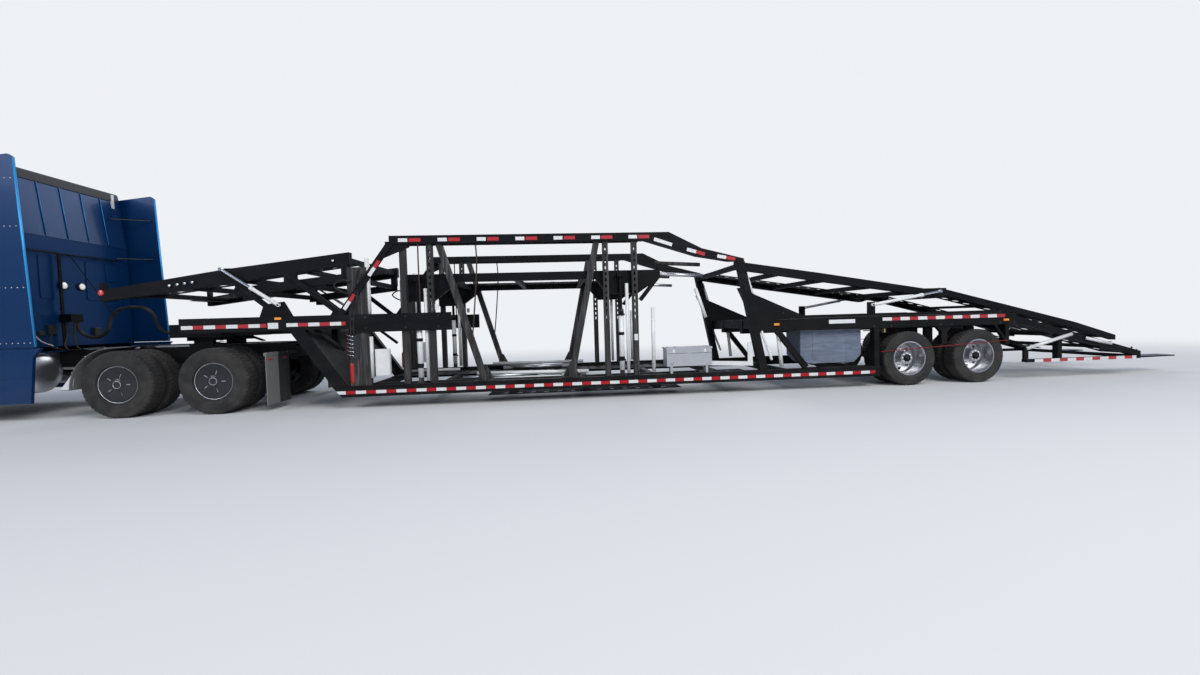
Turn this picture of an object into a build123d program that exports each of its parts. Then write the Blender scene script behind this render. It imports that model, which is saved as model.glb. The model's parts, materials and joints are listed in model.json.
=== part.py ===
"""Car transporter truck: sleeper tractor and open two-level car-carrier semi-trailer.

Millimetres. X runs rearwards, Y to the vehicle's right, Z up. The origin is on the
ground under the middle of the whole vehicle.
"""
from build123d import *
import os
from math import cos, radians, sin, tan

os.makedirs("parts", exist_ok=True)

# Driving dimensions of the whole vehicle
half_width = 1295           # half of the legal width
kingpin_x = -5080           # where trailer and tractor meet, over the drive tandem
bumper_x = -12400           # foremost face
pin_clear = 0.05            # running clearance of a shaft in its hole
face_gap = 6                # side clearance between moving pieces
seat_gap = 0.3              # between a piece and what carries it

# Tractor
front_axle_x = -11150
drive_spread = 1360         # between the two drive axles
tyre_r = 510                # tractor tyre radius
tyre_w = 285
dual_pitch = 340            # between the two tyres of a pair
rim_r = 292                 # where the bead sits
frame_half = 430            # outer face of the frame rails
rail_w = 85
rail_t = 12
rail_top = 1030
rail_h = 270
frame_front_x = -12080
frame_rear_x = -3600
front_track = 1030          # middle of a front tyre from the centre line
steer_pivot_y = 830         # steering pivot from the centre line
drive_outer = 1250          # outer face of the drive duals
plate_z = 1180              # top of the coupling plate
spindle_r = 60
hood_hinge = (-12210, 790)  # x and z of the hood's hinge
hood_pin_r = 18
tank_r = 310
tank_y = 790
tank_z = 700

# Cab
cab_front_x = -10430        # cowl
cab_rear_x = -7450
cab_lean = 125              # how far the rear wall leans forward above its crease
crease_z = 2910
cab_half = 1200
cab_nose_half = 1060        # half width at the cowl
cab_taper_x = -9150         # the cab is full width behind this
cab_corner_r = 140          # rear corners of the sleeper
eave = 90                   # bevel along the roof's edges
floor_z = 1100
roof_z = 3950
wall = 50
glass_inset = 18
glass_t = 8
door_gap = 6
extender_x = -6870          # foot of the side extenders' trailing edge
extender_rake = 120         # how far the edge leans forward up to the roof
extender_t = 35

# Trailer
side_w = 120                # thickness of the side frames
side_out = 1275             # outer face of the side frames
side_in = side_out - side_w
deck_out = side_in - 15     # outer face of the decks, which pass inside the side frames
deck_in = 1030
runner_in = 450             # inner edge of the decks' runners
runner_t = 8
neck_z = 1250               # underside of the gooseneck side beams
neck_h = 220
neck_front_x = -4810
rail_low_z = 190            # lower side rail
rail_low_h = 170
rail_low_rear_x = 6290
top_z = 2540                # underside of the top rail
top_h = 130
top_front_x = -1700
top_rear_x = 2700
gantry = (3920, 2110)       # x and z of the rear upper deck's hinge
gantry_pin_r = 22
bogie_x = 6850              # first trailer axle
bogie_spread = 1270
t_tyre_r = 465              # trailer tyre radius
t_tyre_w = 255
t_rim_r = 288
t_dual_pitch = 330
t_outer = 1270              # outer face of the trailer duals
beam_z = 1000               # rear beam over the wheels
beam_h = 250
frame_end_x = 8670
tail_hinge = (8740, 1120)   # x and z of the tail ramp's hinge
tail_pin_r = 20

kingpin_r = 25.4
gantry_leg_top = 2180       # top of the gantry's legs, which carry the top rails
t_spindle_r = 55
neck_top = neck_z + neck_h
rail_low_top = rail_low_z + rail_low_h
beam_top = beam_z + beam_h
tower_x0 = -2360            # front face of the front tower
skin_in = 1250              # inner face of the outer plates
bracket_in = 1195
bracket_out = 1215

# Head deck on its parallel arms
arm_len = 836
arm_deg = 40.1
arm_w = 95
arm_t = 30
arm_front = (-3567, 1610)
arm_rear = (-2558, 1522)
cylinder_foot = (180, 35)   # from the front arm's foot to the cylinder's foot
cylinder_head = (16, 60)    # from the front arm's head to the cylinder's head
arm_rise = (-arm_len * cos(radians(arm_deg)), arm_len * sin(radians(arm_deg)))
head_front = (arm_front[0] + arm_rise[0], arm_front[1] + arm_rise[1])
head_rear = (arm_rear[0] + arm_rise[0], arm_rear[1] + arm_rise[1])
foot_pin = (arm_front[0] + cylinder_foot[0], arm_front[1] + cylinder_foot[1])
head_pin = (head_front[0] + cylinder_head[0], head_front[1] + cylinder_head[1])
arm_y0 = 1160
arm_y1 = arm_y0 + arm_t
arm_pin_r = 22
rod_y = 1247

# Rear upper deck and its cylinders
rear_end = (7560, 1590)     # hinge of the upper ramp
rear_end_pin_r = 20
rear_foot = (6220, 1400)
rear_head = (7450, 1600)
rear_rod_y = 1212

# Deck cylinders, head and rear alike
barrel_r = 28
piston_r = 20
eye_r = 26
eye_half = 20               # half width of an eye
foot_pin_r = 14
head_pin_r = 12


def block(x0, x1, y0, y1, z0, z1, mode=Mode.ADD):
    """A square-edged solid between two corners."""
    with Locations(((x0 + x1) / 2, (y0 + y1) / 2, (z0 + z1) / 2)):
        Box(abs(x1 - x0), abs(y1 - y0), abs(z1 - z0), mode=mode)


def plate(points, y0, y1, mode=Mode.ADD, radius=0):
    """An outline of (x, z) points, thick from y0 to y1, its corners rounded by radius."""
    with BuildSketch(Plane.XZ.offset(-y0)) as face:
        with BuildLine():
            Polyline(*points, close=True)
        make_face()
        if radius:
            fillet(face.vertices(), radius)
    extrude(face.sketch, amount=-(y1 - y0), mode=mode)


def slab(points, z0, z1, mode=Mode.ADD):
    """An outline of (x, y) points seen from above, thick from z0 to z1."""
    with BuildSketch(Plane.XY.offset(z0)) as face:
        with BuildLine():
            Polyline(*points, close=True)
        make_face()
    extrude(face.sketch, amount=z1 - z0, mode=mode)


def bar(start, end, depth, y0, y1, mode=Mode.ADD):
    """A straight member from one (x, z) point to another, as deep as given."""
    dx, dz = end[0] - start[0], end[1] - start[1]
    length = (dx * dx + dz * dz) ** 0.5
    nx, nz = -dz / length * depth / 2, dx / length * depth / 2
    plate([(start[0] + nx, start[1] + nz), (end[0] + nx, end[1] + nz),
           (end[0] - nx, end[1] - nz), (start[0] - nx, start[1] - nz)], y0, y1, mode)


def arched(centre, inner, outer, first_deg, sweep_deg, y0, y1):
    """A band bent about an (x, z) centre, its angles counted from +X towards +Z."""
    with BuildSketch(Plane.XZ.offset(-y0)) as face:
        with BuildLine():
            far = CenterArc(centre, outer, first_deg, sweep_deg)
            near = CenterArc(centre, inner, first_deg, sweep_deg)
            Line(far @ 0, near @ 0)
            Line(far @ 1, near @ 1)
        make_face()
    extrude(face.sketch, amount=-(y1 - y0))


def rod(start, end, radius, mode=Mode.ADD):
    """A round bar between two points."""
    a, b = Vector(*start), Vector(*end)
    with BuildSketch(Plane(origin=a, z_dir=b - a)) as face:
        Circle(radius)
    extrude(face.sketch, amount=(b - a).length, mode=mode)


def cross_pin(x, z, radius, y0, y1, mode=Mode.ADD):
    """A round pin or hole along the width of the vehicle."""
    rod((x, y0, z), (x, y1, z), radius, mode)


def turned(x, z, outline, mode=Mode.ADD):
    """A ring about the wheel axis at (x, z): outline holds (y, radius) points."""
    with BuildSketch(Plane(origin=(x, 0, z), x_dir=(0, 1, 0), z_dir=(1, 0, 0))) as section:
        with BuildLine():
            Polyline(*outline, close=True)
        make_face()
    revolve(section.sketch, axis=Axis((x, 0, z), (0, 1, 0)), mode=mode)


def round_holes(x, y, z, circle_r, hole_r, count, depth):
    """Holes in a ring about the wheel axis, cut through a disc at y."""
    with Locations(Plane(origin=(x, y, z), z_dir=(0, 1, 0))):
        with PolarLocations(circle_r, count):
            Cylinder(hole_r, depth, mode=Mode.SUBTRACT)


def runner(start, end, y0, y1, hole=60, step=220):
    """A deck runner from one (x, z) point to another, with two rows of six-sided grip holes."""
    run = Vector(end[0] - start[0], 0, end[1] - start[1])
    middle = ((start[0] + end[0]) / 2, (y0 + y1) / 2, (start[1] + end[1]) / 2)
    width = abs(y1 - y0)
    with BuildSketch(Plane(origin=middle, x_dir=run, z_dir=(-run.Z, 0, run.X))) as sheet:
        Rectangle(run.length, width)
        with GridLocations(step, width * 0.45, int((run.length - step) / step), 2):
            RegularPolygon(hole, 6, mode=Mode.SUBTRACT)
    extrude(sheet.sketch, amount=runner_t)


def between(start, end, x):
    """Height at x of the straight line through two (x, z) points."""
    return start[1] + (x - start[0]) * (end[1] - start[1]) / (end[0] - start[0])


def along(start, heading, distance, y):
    """A point on a cylinder's axis: an (x, z) start, a unit (x, z) heading, a distance."""
    return (start[0] + heading[0] * distance, y, start[1] + heading[1] * distance)


def axis_between(foot, head):
    """Length and unit (x, z) heading from a cylinder's foot pin to its head pin."""
    dx, dz = head[0] - foot[0], head[1] - foot[1]
    length = (dx * dx + dz * dz) ** 0.5
    return length, (dx / length, dz / length)


def barrel(foot, heading, length, y):
    """A cylinder's barrel with its eye on the foot pin and a bore for the rod."""
    rod(along(foot, heading, 20, y), along(foot, heading, length, y), barrel_r)
    rod(along(foot, heading, length - 40, y), along(foot, heading, length, y), barrel_r + 6)
    rod(along(foot, heading, 60, y), along(foot, heading, length + 10, y), piston_r + pin_clear, Mode.SUBTRACT)
    cross_pin(*foot, eye_r, y - eye_half, y + eye_half)
    cross_pin(*foot, foot_pin_r + pin_clear, y - 30, y + 30, Mode.SUBTRACT)


def piston(foot, head, heading, length, y):
    """A cylinder's rod with its eye at the head pin."""
    rod(along(foot, heading, 160, y), along(foot, heading, length - 20, y), piston_r)
    cross_pin(*head, eye_r, y - eye_half, y + eye_half)


def save(piece, name):
    """Label a finished piece and write it."""
    piece.part.label = name
    export_step(piece.part, f"parts/{name}.step")


# Cab walls, worked out as an outer form at any depth below the skin

def cab_form(depth):
    """The cab and sleeper as one solid, its skin moved inwards by depth."""
    skin_y = cab_half - depth
    rear_x = cab_rear_x - depth
    with BuildPart() as form:
        side = [(cab_front_x + depth, floor_z + depth), (rear_x, floor_z + depth), (rear_x, crease_z),
                (rear_x - cab_lean, roof_z - depth), (-8250, roof_z - depth),
                (-9420 + depth * 0.5, 3560 - depth), (-9800 + depth * 0.8, 3020 - depth * 0.5),
                (cab_front_x + depth, 2080 - depth * 0.3)]
        plate(side, -skin_y, skin_y)
        for hand in (-1, 1):
            slab([(cab_taper_x, hand * skin_y), (cab_front_x - 50, hand * (cab_nose_half - depth)),
                  (cab_front_x - 50, hand * (cab_half + 50)), (cab_taper_x, hand * (cab_half + 50))],
                 floor_z - 50, roof_z + 50, Mode.SUBTRACT)
        corners = [edge for edge in form.edges()
                   if edge.center().X > rear_x - cab_lean and abs(edge.center().Y) > skin_y - 1
                   and edge.length > corner_run]
        fillet(corners, cab_corner_r - depth)
        # Bevels along both edges of the roof
        for hand in (-1, 1):
            with BuildSketch(Plane.YZ.offset(cab_front_x)):
                with BuildLine():
                    Polyline((hand * (skin_y - eave), roof_z - depth + 1), (hand * (skin_y + 1), roof_z - depth + 1),
                             (hand * (skin_y + 1), roof_z - depth - eave), close=True)
                make_face()
            extrude(amount=cab_rear_x - cab_front_x, mode=Mode.SUBTRACT)
    return form.part


corner_run = 500            # the sleeper's corner edges are all longer than this
cab_outer = cab_form(0)
cab_inner = cab_form(wall)
glass_outer = cab_form(glass_inset)
glass_inner = cab_form(glass_inset + glass_t)

door_outline = [(-10290, 1160), (-9240, 1160), (-9240, 2760), (-9560, 2900), (-9830, 2860),
                (-10290, 2130)]
door_window = [(-10130, 2060), (-9340, 2000), (-9340, 2690), (-9600, 2800), (-9780, 2770)]
sleeper_window = [(-8500, 2150), (-8050, 2150), (-8050, 2650), (-8500, 2650)]
screen_low_z = 2140
screen_high_z = 2940
screen_half = cab_nose_half - 130
side_cut = 250              # how far the door and window cuts reach into the cab


def shrink(points, gap):
    """An outline moved inwards towards its middle by about gap."""
    cx = sum(p[0] for p in points) / len(points)
    cz = sum(p[1] for p in points) / len(points)
    result = []
    for x, z in points:
        dx, dz = x - cx, z - cz
        length = (dx * dx + dz * dz) ** 0.5
        result.append((x - dx / length * gap * 1.4, z - dz / length * gap * 1.4))
    return result


def cab_skin(x):
    """Half width of the cab at a place along its tapered side."""
    nose_x = cab_front_x - 50
    return cab_nose_half + (x - nose_x) * (cab_half - cab_nose_half) / (cab_taper_x - nose_x)


# Exposed door hinges: two lugs and a pin on the pillar, one knuckle on the door
hinge_x = -10287
hinge_y = cab_skin(hinge_x) + 18
hinge_z = (1300, 1900)
hinge_leaf = 70
knuckle_r = 13
knuckle_half = 30
hinge_pin_r = 6
mirror_x = -10200           # far enough behind the hinge to swing clear of pillar and hood
mirror_z = (1620, 2180)


def pillar_lugs(hand):
    """The cab's half of both hinges of one door."""
    y = hand * hinge_y
    leaf_x = hinge_x - hinge_leaf
    reach = 2 * knuckle_half + 2
    for z in hinge_z:
        rod((hinge_x, y, z - reach), (hinge_x, y, z + reach), hinge_pin_r)
        for z0 in (z - reach, z + knuckle_half + 2):
            z1 = z0 + knuckle_half
            rod((hinge_x, y, z0), (hinge_x, y, z1), knuckle_r)
            block(leaf_x, hinge_x - 8, hand * (cab_skin(leaf_x) - 10), hand * (hinge_y + 6), z0, z1)


def door_knuckles(hand):
    """The door's half of both hinges."""
    y = hand * hinge_y
    for z in hinge_z:
        z0, z1 = z - knuckle_half, z + knuckle_half
        rod((hinge_x, y, z0), (hinge_x, y, z1), knuckle_r)
        block(hinge_x + 8, hinge_x + hinge_leaf, hand * (cab_skin(hinge_x) - 10), hand * (hinge_y + 6), z0, z1)
        rod((hinge_x, y, z0 - 1), (hinge_x, y, z1 + 1), hinge_pin_r + pin_clear, Mode.SUBTRACT)


# Air and electric line: one sleeve from the pogo stick, low behind the cab, up in an
# arch on the tender's hook and down to the front of the gooseneck

line_r = 28
line_points = [(-7262, -150, 1500), (-7262, -150, 1400), (-7215, -135, 1300), (-7125, -112, 1237),
               (-7020, -85, 1228), (-6929, -62, 1270), (-6872, -45, 1352), (-6861, -30, 1480),
               (-6826, -18, 1605), (-6738, -8, 1695), (-6612, -2, 1732), (-6455, 2, 1738), (-6320, 8, 1716),
               (-6226, 16, 1650), (-6176, 26, 1548), (-6154, 34, 1428), (-6100, 38, 1328), (-6006, 34, 1268),
               (-5888, 22, 1252), (-5750, 4, 1268), (-5600, 4, 1268)]
hook_r = 8
hook_run = Vector(*line_points[9]) - Vector(*line_points[8])
hook = (Vector(*line_points[8]) + hook_run * 0.5
        + Vector(hook_run.Z, 0, -hook_run.X).normalized() * (line_r + hook_r + seat_gap))

# Tractor frame

pogo = (-7385, -250)        # x and y of the stick that carries the lines
tether_z = 2640
deck_plate_x0 = cab_rear_x + 20
deck_plate_x1 = extender_x - 10
deck_plate_half = 520
deck_plate_t = 6

with BuildPart() as tractor_frame:
    rail_outline = [(frame_half, rail_top), (frame_half, rail_top - rail_h),
                    (frame_half - rail_w, rail_top - rail_h),
                    (frame_half - rail_w, rail_top - rail_h + rail_t),
                    (frame_half - rail_t, rail_top - rail_h + rail_t),
                    (frame_half - rail_t, rail_top - rail_t),
                    (frame_half - rail_w, rail_top - rail_t), (frame_half - rail_w, rail_top)]
    with BuildSketch(Plane.YZ.offset(frame_front_x)):
        with BuildLine():
            Polyline(*rail_outline, close=True)
        make_face()
    extrude(amount=frame_rear_x - frame_front_x)
    mirror(about=Plane.XZ)
    for x in (-12000, -9300, -8100, -6900, kingpin_x, frame_rear_x - 40):
        block(x - 40, x + 40, -frame_half + rail_t, frame_half - rail_t,
              rail_top - rail_h + 40, rail_top - 50)
    # Walkway plate behind the sleeper, with drain slots
    block(deck_plate_x0, deck_plate_x1, -deck_plate_half, deck_plate_half, rail_top, rail_top + deck_plate_t)
    with BuildSketch(Plane.XY.offset(rail_top)) as drains:
        with Locations(((deck_plate_x0 + deck_plate_x1) / 2 + 60, 0)):
            with GridLocations(110, 260, 4, 4):
                RectangleRounded(40, 180, 19)
    extrude(drains.sketch, amount=deck_plate_t, mode=Mode.SUBTRACT)
    # Pogo stick with its junction box, and the tether bar held off the sleeper's wall
    rod((*pogo, rail_top), (*pogo, tether_z), 22)
    block(pogo[0] - 20, line_points[0][0] + 40, pogo[1] - 40, line_points[0][1] + 60, line_points[0][2],
          line_points[0][2] + 130)
    rod((pogo[0], -750, tether_z), (pogo[0], 800, tether_z), 13)
    for y in (-700, 0, 750):
        rod((cab_rear_x + seat_gap, y, tether_z), (pogo[0], y, tether_z), 9)
    # Tender: a rod from the bar to the hook under the shoulder of the line's arch
    rod((pogo[0], hook.Y - 60, tether_z), (hook.X, hook.Y - 60, hook.Z), hook_r)
    cross_pin(hook.X, hook.Z, hook_r, hook.Y - 66, hook.Y + 40)
    # Hinge pins of the hood, on arms from the frame's front end
    for hand in (-1, 1):
        block(hood_hinge[0] - 30, frame_front_x, hand * 400, hand * 420, hood_hinge[1] - 40, hood_hinge[1] + 40)
        cross_pin(*hood_hinge, hood_pin_r, hand * 420, hand * 460)
save(tractor_frame, "tractor_frame")

# Axles of the tractor
drive_axles_x = (kingpin_x - drive_spread / 2, kingpin_x + drive_spread / 2)
drive_inner_y = drive_outer - tyre_w - dual_pitch
spring_y = (355, frame_half)

with BuildPart() as tractor_axles:
    # Front beam with a boss for each steering pin, on leaf springs
    block(front_axle_x - 55, front_axle_x + 55, -560, 560, 400, 500)
    for hand in (-1, 1):
        pivot_y = hand * steer_pivot_y
        with BuildSketch(Plane.YZ.offset(front_axle_x - 45)):
            with BuildLine():
                Polyline((hand * 540, 400), (pivot_y - hand * 100, 450), (pivot_y, 450), (pivot_y, 560),
                         (hand * 540, 500), close=True)
            make_face()
        extrude(amount=90)
        rod((front_axle_x, pivot_y, 445), (front_axle_x, pivot_y, 565), 48)
        rod((front_axle_x, pivot_y, 400), (front_axle_x, pivot_y, 600), 24 + pin_clear, Mode.SUBTRACT)
        for half, z in ((600, 512), (440, 500)):
            block(front_axle_x - half, front_axle_x + half, hand * spring_y[0], hand * spring_y[1], z, z + 18)
        for x in (front_axle_x - 550, front_axle_x + 560):
            block(x - 30, x + 30, hand * 360, hand * 425, 530, rail_top - rail_h)
    # Drive axles: tube, differential bowl, spindle ends, springs, air bags and brake chambers
    for x in drive_axles_x:
        tube_end = drive_inner_y - 60
        spindle_end = drive_outer - 64
        turned(x, tyre_r, [(-spindle_end, 0), (-spindle_end, spindle_r), (-tube_end, spindle_r),
                           (-tube_end, 75), (-100, 75), (0, 200), (120, 200), (220, 75), (tube_end, 75),
                           (tube_end, spindle_r), (spindle_end, spindle_r), (spindle_end, 0)])
        for hand in (-1, 1):
            block(x - 300, x + 60, hand * 350, hand * 430, tyre_r + 50, tyre_r + 130)
            block(x - 300, x - 240, hand * 350, hand * 430, tyre_r + 50, rail_top - rail_h)
            rod((x + 20, hand * 390, tyre_r + 120), (x + 20, hand * 390, rail_top - rail_h), 60)
            rod((x + 60, hand * 290, tyre_r), (x + 240, hand * 290, tyre_r + 20), 70)
    rod((-9690, 60, 720), (drive_axles_x[0] - 150, 60, 560), 50)
    rod((drive_axles_x[0] + 150, 60, 530), (drive_axles_x[1] - 150, 60, 530), 45)
save(tractor_axles, "tractor_axles")

with BuildPart() as engine:
    block(-11600, -10480, -330, 330, 760, 1620)
    chamfer(engine.edges().filter_by(Axis.X), 60)
    block(-11500, -10600, -200, 200, 640, 760)
    block(-10480, -9700, -200, 240, 560, 980)
    for x in (-11300, -10700):
        for hand in (-1, 1):
            block(x - 60, x + 60, hand * 330, hand * (frame_half - rail_t), 880, 960)
save(engine, "engine")

# Steering knuckles
for name, hand in (("knuckle_left", -1), ("knuckle_right", 1)):
    with BuildPart() as knuckle:
        y = hand * steer_pivot_y
        rod((front_axle_x, y, 400), (front_axle_x, y, 610), 24)
        block(front_axle_x - 50, front_axle_x + 50, y - 55 * hand, y + 110 * hand, 395, 440)
        block(front_axle_x - 50, front_axle_x + 50, y - 55 * hand, y + 110 * hand, 570, 615)
        block(front_axle_x - 50, front_axle_x + 50, y + 55 * hand, y + 110 * hand, 395, 615)
        rod((front_axle_x, y + 100 * hand, tyre_r), (front_axle_x, y + 330 * hand, tyre_r), 45)
    save(knuckle, name)


def tyre_outline(y0, y1, outer, inner):
    """Half section of a tyre between two side faces, as (y, radius) points."""
    width = y1 - y0
    height = outer - inner
    return [(y0 + width * 0.10, inner), (y1 - width * 0.10, inner), (y1, inner + height * 0.5),
            (y1 - width * 0.09, outer), (y0 + width * 0.09, outer), (y0, inner + height * 0.5)]


def wheel_cover(x, z, hand, face):
    """A shallow domed cover over an outer wheel, with five short slots and a raised cap."""
    outline = [(-34, rim_r - 8), (-26, 190), (-22, 90), (-12, 70), (-12, 0),
               (-22, 0), (-22, 60), (-32, 84), (-36, 186), (-46, rim_r - 8)]
    turned(x, z, [(hand * (face + y), r) for y, r in outline])
    with Locations(Plane(origin=(x, hand * (face - 30), z), z_dir=(0, 1, 0))):
        with PolarLocations(140, 5, start_angle=90):
            Box(70, 16, 40, mode=Mode.SUBTRACT)


def wheel_pair(name, x, z, hand, outer_face, width, pitch, radius, bead, hub_r, dish, covered):
    """Two tyres and the rims and hub that carry them, on one side of an axle."""
    y_out = outer_face - width
    with BuildPart() as tyres:
        for y0 in (y_out, y_out - pitch):
            points = tyre_outline(y0, y0 + width, radius, bead)
            turned(x, z, [(hand * y, r) for y, r in points])
    save(tyres, name + "_tyres")
    edge = width * 0.10
    mid = y_out - (pitch - width) / 2
    with BuildPart() as rims:
        for y0 in (y_out, y_out - pitch):
            turned(x, z, [(hand * (y0 + edge), bead), (hand * (y0 + width - edge), bead),
                          (hand * (y0 + width - edge), bead - 14), (hand * (y0 + edge), bead - 14)])
        turned(x, z, [(hand * (mid - 24), 110), (hand * (mid - 24), bead - 8),
                      (hand * (mid + 24), bead - 8), (hand * (mid + 24), 110)])
        for y0, y1 in ((mid + 24, y_out + edge + 4), (y_out - pitch + width - edge - 4, mid - 24)):
            turned(x, z, [(hand * y0, bead - 40), (hand * y0, bead - 8), (hand * y1, bead - 0.5),
                          (hand * y1, bead - 16)])
        turned(x, z, [(hand * (mid - 120), hub_r), (hand * (mid - 120), 130),
                      (hand * (outer_face - dish), 105), (hand * (outer_face - dish), hub_r)])
        cross_pin(x, z, hub_r + 12, hand * (outer_face - dish), hand * (outer_face - dish + 8))
        round_holes(x, hand * mid, z, 190, 30, 8, 120)
        if covered:
            wheel_cover(x, z, hand, outer_face)
        else:
            # Turned-over lip of the open rim
            turned(x, z, [(hand * (outer_face - edge), bead - 14), (hand * (outer_face - edge), bead),
                          (hand * (outer_face - 19), bead + 12), (hand * (outer_face - 14), bead + 12),
                          (hand * (outer_face - 16), bead - 14)])
    save(rims, name + "_rims")


front_wheel_hub_r = 45 + pin_clear
for name, hand in (("front_wheel_left", -1), ("front_wheel_right", 1)):
    inner_y = front_track - tyre_w / 2
    outer_y = front_track + tyre_w / 2
    with BuildPart() as tyre:
        turned(front_axle_x, tyre_r, [(hand * y, r) for y, r in tyre_outline(inner_y, outer_y, tyre_r, rim_r)])
    save(tyre, name + "_tyre")
    with BuildPart() as rim:
        y0, y1 = inner_y + 28, outer_y - 28
        turned(front_axle_x, tyre_r, [(hand * y0, rim_r), (hand * y1, rim_r), (hand * y1, rim_r - 14),
                                      (hand * y0, rim_r - 14)])
        turned(front_axle_x, tyre_r, [(hand * (y1 - 50), 90), (hand * (y1 - 90), rim_r - 7),
                                      (hand * (y1 - 60), rim_r - 7), (hand * (y1 - 20), 90)])
        round_holes(front_axle_x, hand * (y1 - 60), tyre_r, 190, 30, 8, 120)
        turned(front_axle_x, tyre_r, [(hand * (y1 - 110), front_wheel_hub_r), (hand * (y1 - 110), 110),
                                      (hand * (y1 + 20), 90), (hand * (y1 + 20), front_wheel_hub_r)])
        cross_pin(front_axle_x, tyre_r, 60, hand * (y1 + 16), hand * (y1 + 28))
    save(rim, name + "_rim")

for axle, x in zip(("drive_front", "drive_rear"), drive_axles_x):
    for side, hand in (("left", -1), ("right", 1)):
        wheel_pair(f"{axle}_{side}", x, tyre_r, hand, drive_outer, tyre_w, dual_pitch, tyre_r, rim_r,
                   spindle_r + pin_clear, 60, covered=True)

# Cab

rib_w = 22
rib_rise = 9
press_depth = 12            # of the pressed panels in the rear wall
visor_reach = 170

with BuildPart() as cab_shell:
    add(cab_outer)
    add(cab_inner, mode=Mode.SUBTRACT)
    for hand in (-1, 1):
        plate(door_outline, hand * (cab_half - side_cut), hand * (cab_half + 20), Mode.SUBTRACT)
    plate(sleeper_window, -cab_half - 20, cab_half + 20, Mode.SUBTRACT)
    block(cab_front_x - 20, cab_taper_x - 200, -screen_half, screen_half, screen_low_z, screen_high_z,
          Mode.SUBTRACT)
    # Rear wall: ribs up the leaning part, a crease, and pressed panels below it
    foot_x, head_x = cab_rear_x, cab_rear_x - cab_lean
    for y in (-710, -355, 0, 355, 710):
        plate([(foot_x - 20, crease_z + 20), (foot_x + rib_rise, crease_z + 20),
               (head_x + rib_rise + 8, roof_z - 90), (head_x - 20, roof_z - 90)], y - rib_w / 2, y + rib_w / 2)
    plate([(foot_x - 20, crease_z - 12), (foot_x + rib_rise, crease_z), (foot_x - 20, crease_z + 12)],
          -cab_half + cab_corner_r, cab_half - cab_corner_r)
    with BuildSketch(Plane.YZ.offset(foot_x)) as panels:
        for hand in (-1, 1):
            with Locations((hand * 560, 2180)):
                RectangleRounded(760, 1000, 70)
    extrude(panels.sketch, amount=-press_depth, mode=Mode.SUBTRACT)
    with BuildSketch(Plane.YZ.offset(foot_x - press_depth)) as raised:
        for hand in (-1, 1):
            for y, z, width, height in ((380, 2240, 240, 700), (740, 2420, 240, 340), (740, 1960, 240, 340)):
                with Locations((hand * y, z)):
                    RectangleRounded(width, height, 40)
    extrude(raised.sketch, amount=press_depth)
    # Drip rail along the top of the rear wall, and the sun visor
    plate([(head_x - 30, roof_z - 70), (head_x + 28, roof_z - 70), (head_x + 22, roof_z), (head_x - 30, roof_z)],
          -cab_half + cab_corner_r, cab_half - cab_corner_r)
    plate([(-9790, 3010), (-9790 - visor_reach, 2950), (-9796 - visor_reach, 2975), (-9770, 3060)],
          -screen_half, screen_half)
    # Side extenders behind the sleeper, in line with its sides
    for hand in (-1, 1):
        top_x = extender_x - extender_rake
        plate([(cab_rear_x - 170, floor_z + face_gap), (extender_x, floor_z + face_gap), (top_x, roof_z - 40),
               (top_x - 60, roof_z), (cab_rear_x - cab_lean - 170, roof_z - eave), (cab_rear_x - 170, crease_z)],
              hand * (cab_half - extender_t / 2), hand * (cab_half + extender_t / 2))
        pillar_lugs(hand)
save(cab_shell, "cab_shell")

with BuildPart() as window_zone:
    block(cab_front_x - 20, cab_taper_x - 200, -screen_half, screen_half, screen_low_z, screen_high_z)
    for hand in (-1, 1):
        plate(sleeper_window, hand * (cab_half - side_cut), hand * (cab_half + 20))

with BuildPart() as cab_glass:
    add(glass_outer)
    add(glass_inner, mode=Mode.SUBTRACT)
    add(window_zone.part, mode=Mode.INTERSECT)
save(cab_glass, "cab_glass")

for side, hand in (("left", -1), ("right", 1)):
    y0, y1 = sorted((hand * (cab_half + 20), hand * (cab_half - side_cut)))
    with BuildPart() as door:
        add(cab_outer)
        add(cab_inner, mode=Mode.SUBTRACT)
        plate(shrink(door_outline, door_gap), y0, y1, Mode.INTERSECT)
        plate(door_window, y0, y1, Mode.SUBTRACT)
        door_knuckles(hand)
        # Mirror on its arms
        inner_y = cab_skin(mirror_x) - 20
        outer_y = inner_y + 175
        rod((mirror_x + 40, hand * inner_y, 2000), (mirror_x, hand * outer_y, 2000), 14)
        rod((mirror_x + 40, hand * inner_y, 1560), (mirror_x, hand * outer_y, 1660), 14)
        block(mirror_x - 50, mirror_x + 50, hand * (outer_y - 60), hand * (outer_y + 50), *mirror_z)
        fillet(door.edges().filter_by(Axis.Z).filter_by_position(Axis.Y, *sorted(
            (hand * (outer_y - 62), hand * (outer_y + 52)))), 20)
        # Grab handle
        block(-9330, -9300, hand * (cab_skin(-9315) - 5), hand * (cab_skin(-9315) + 30), 1560, 1580)
        block(-9330, -9300, hand * (cab_skin(-9315) - 5), hand * (cab_skin(-9315) + 30), 1860, 1880)
        rod((-9315, hand * (cab_skin(-9315) + 26), 1560), (-9315, hand * (cab_skin(-9315) + 26), 1880), 11)
    save(door, "door_" + side)
    with BuildPart() as pane:
        add(glass_outer)
        add(glass_inner, mode=Mode.SUBTRACT)
        plate(door_window, y0, y1, Mode.INTERSECT)
    save(pane, "door_glass_" + side)

# Hood

hood_front_x = -12340
hood_nose_half = 700
hood_half = 1220
hood_t = 40
grille_half = 430
grille_z = (900, 1480)
lamp_z = (1080, 1330)
arch_r = 650


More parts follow.
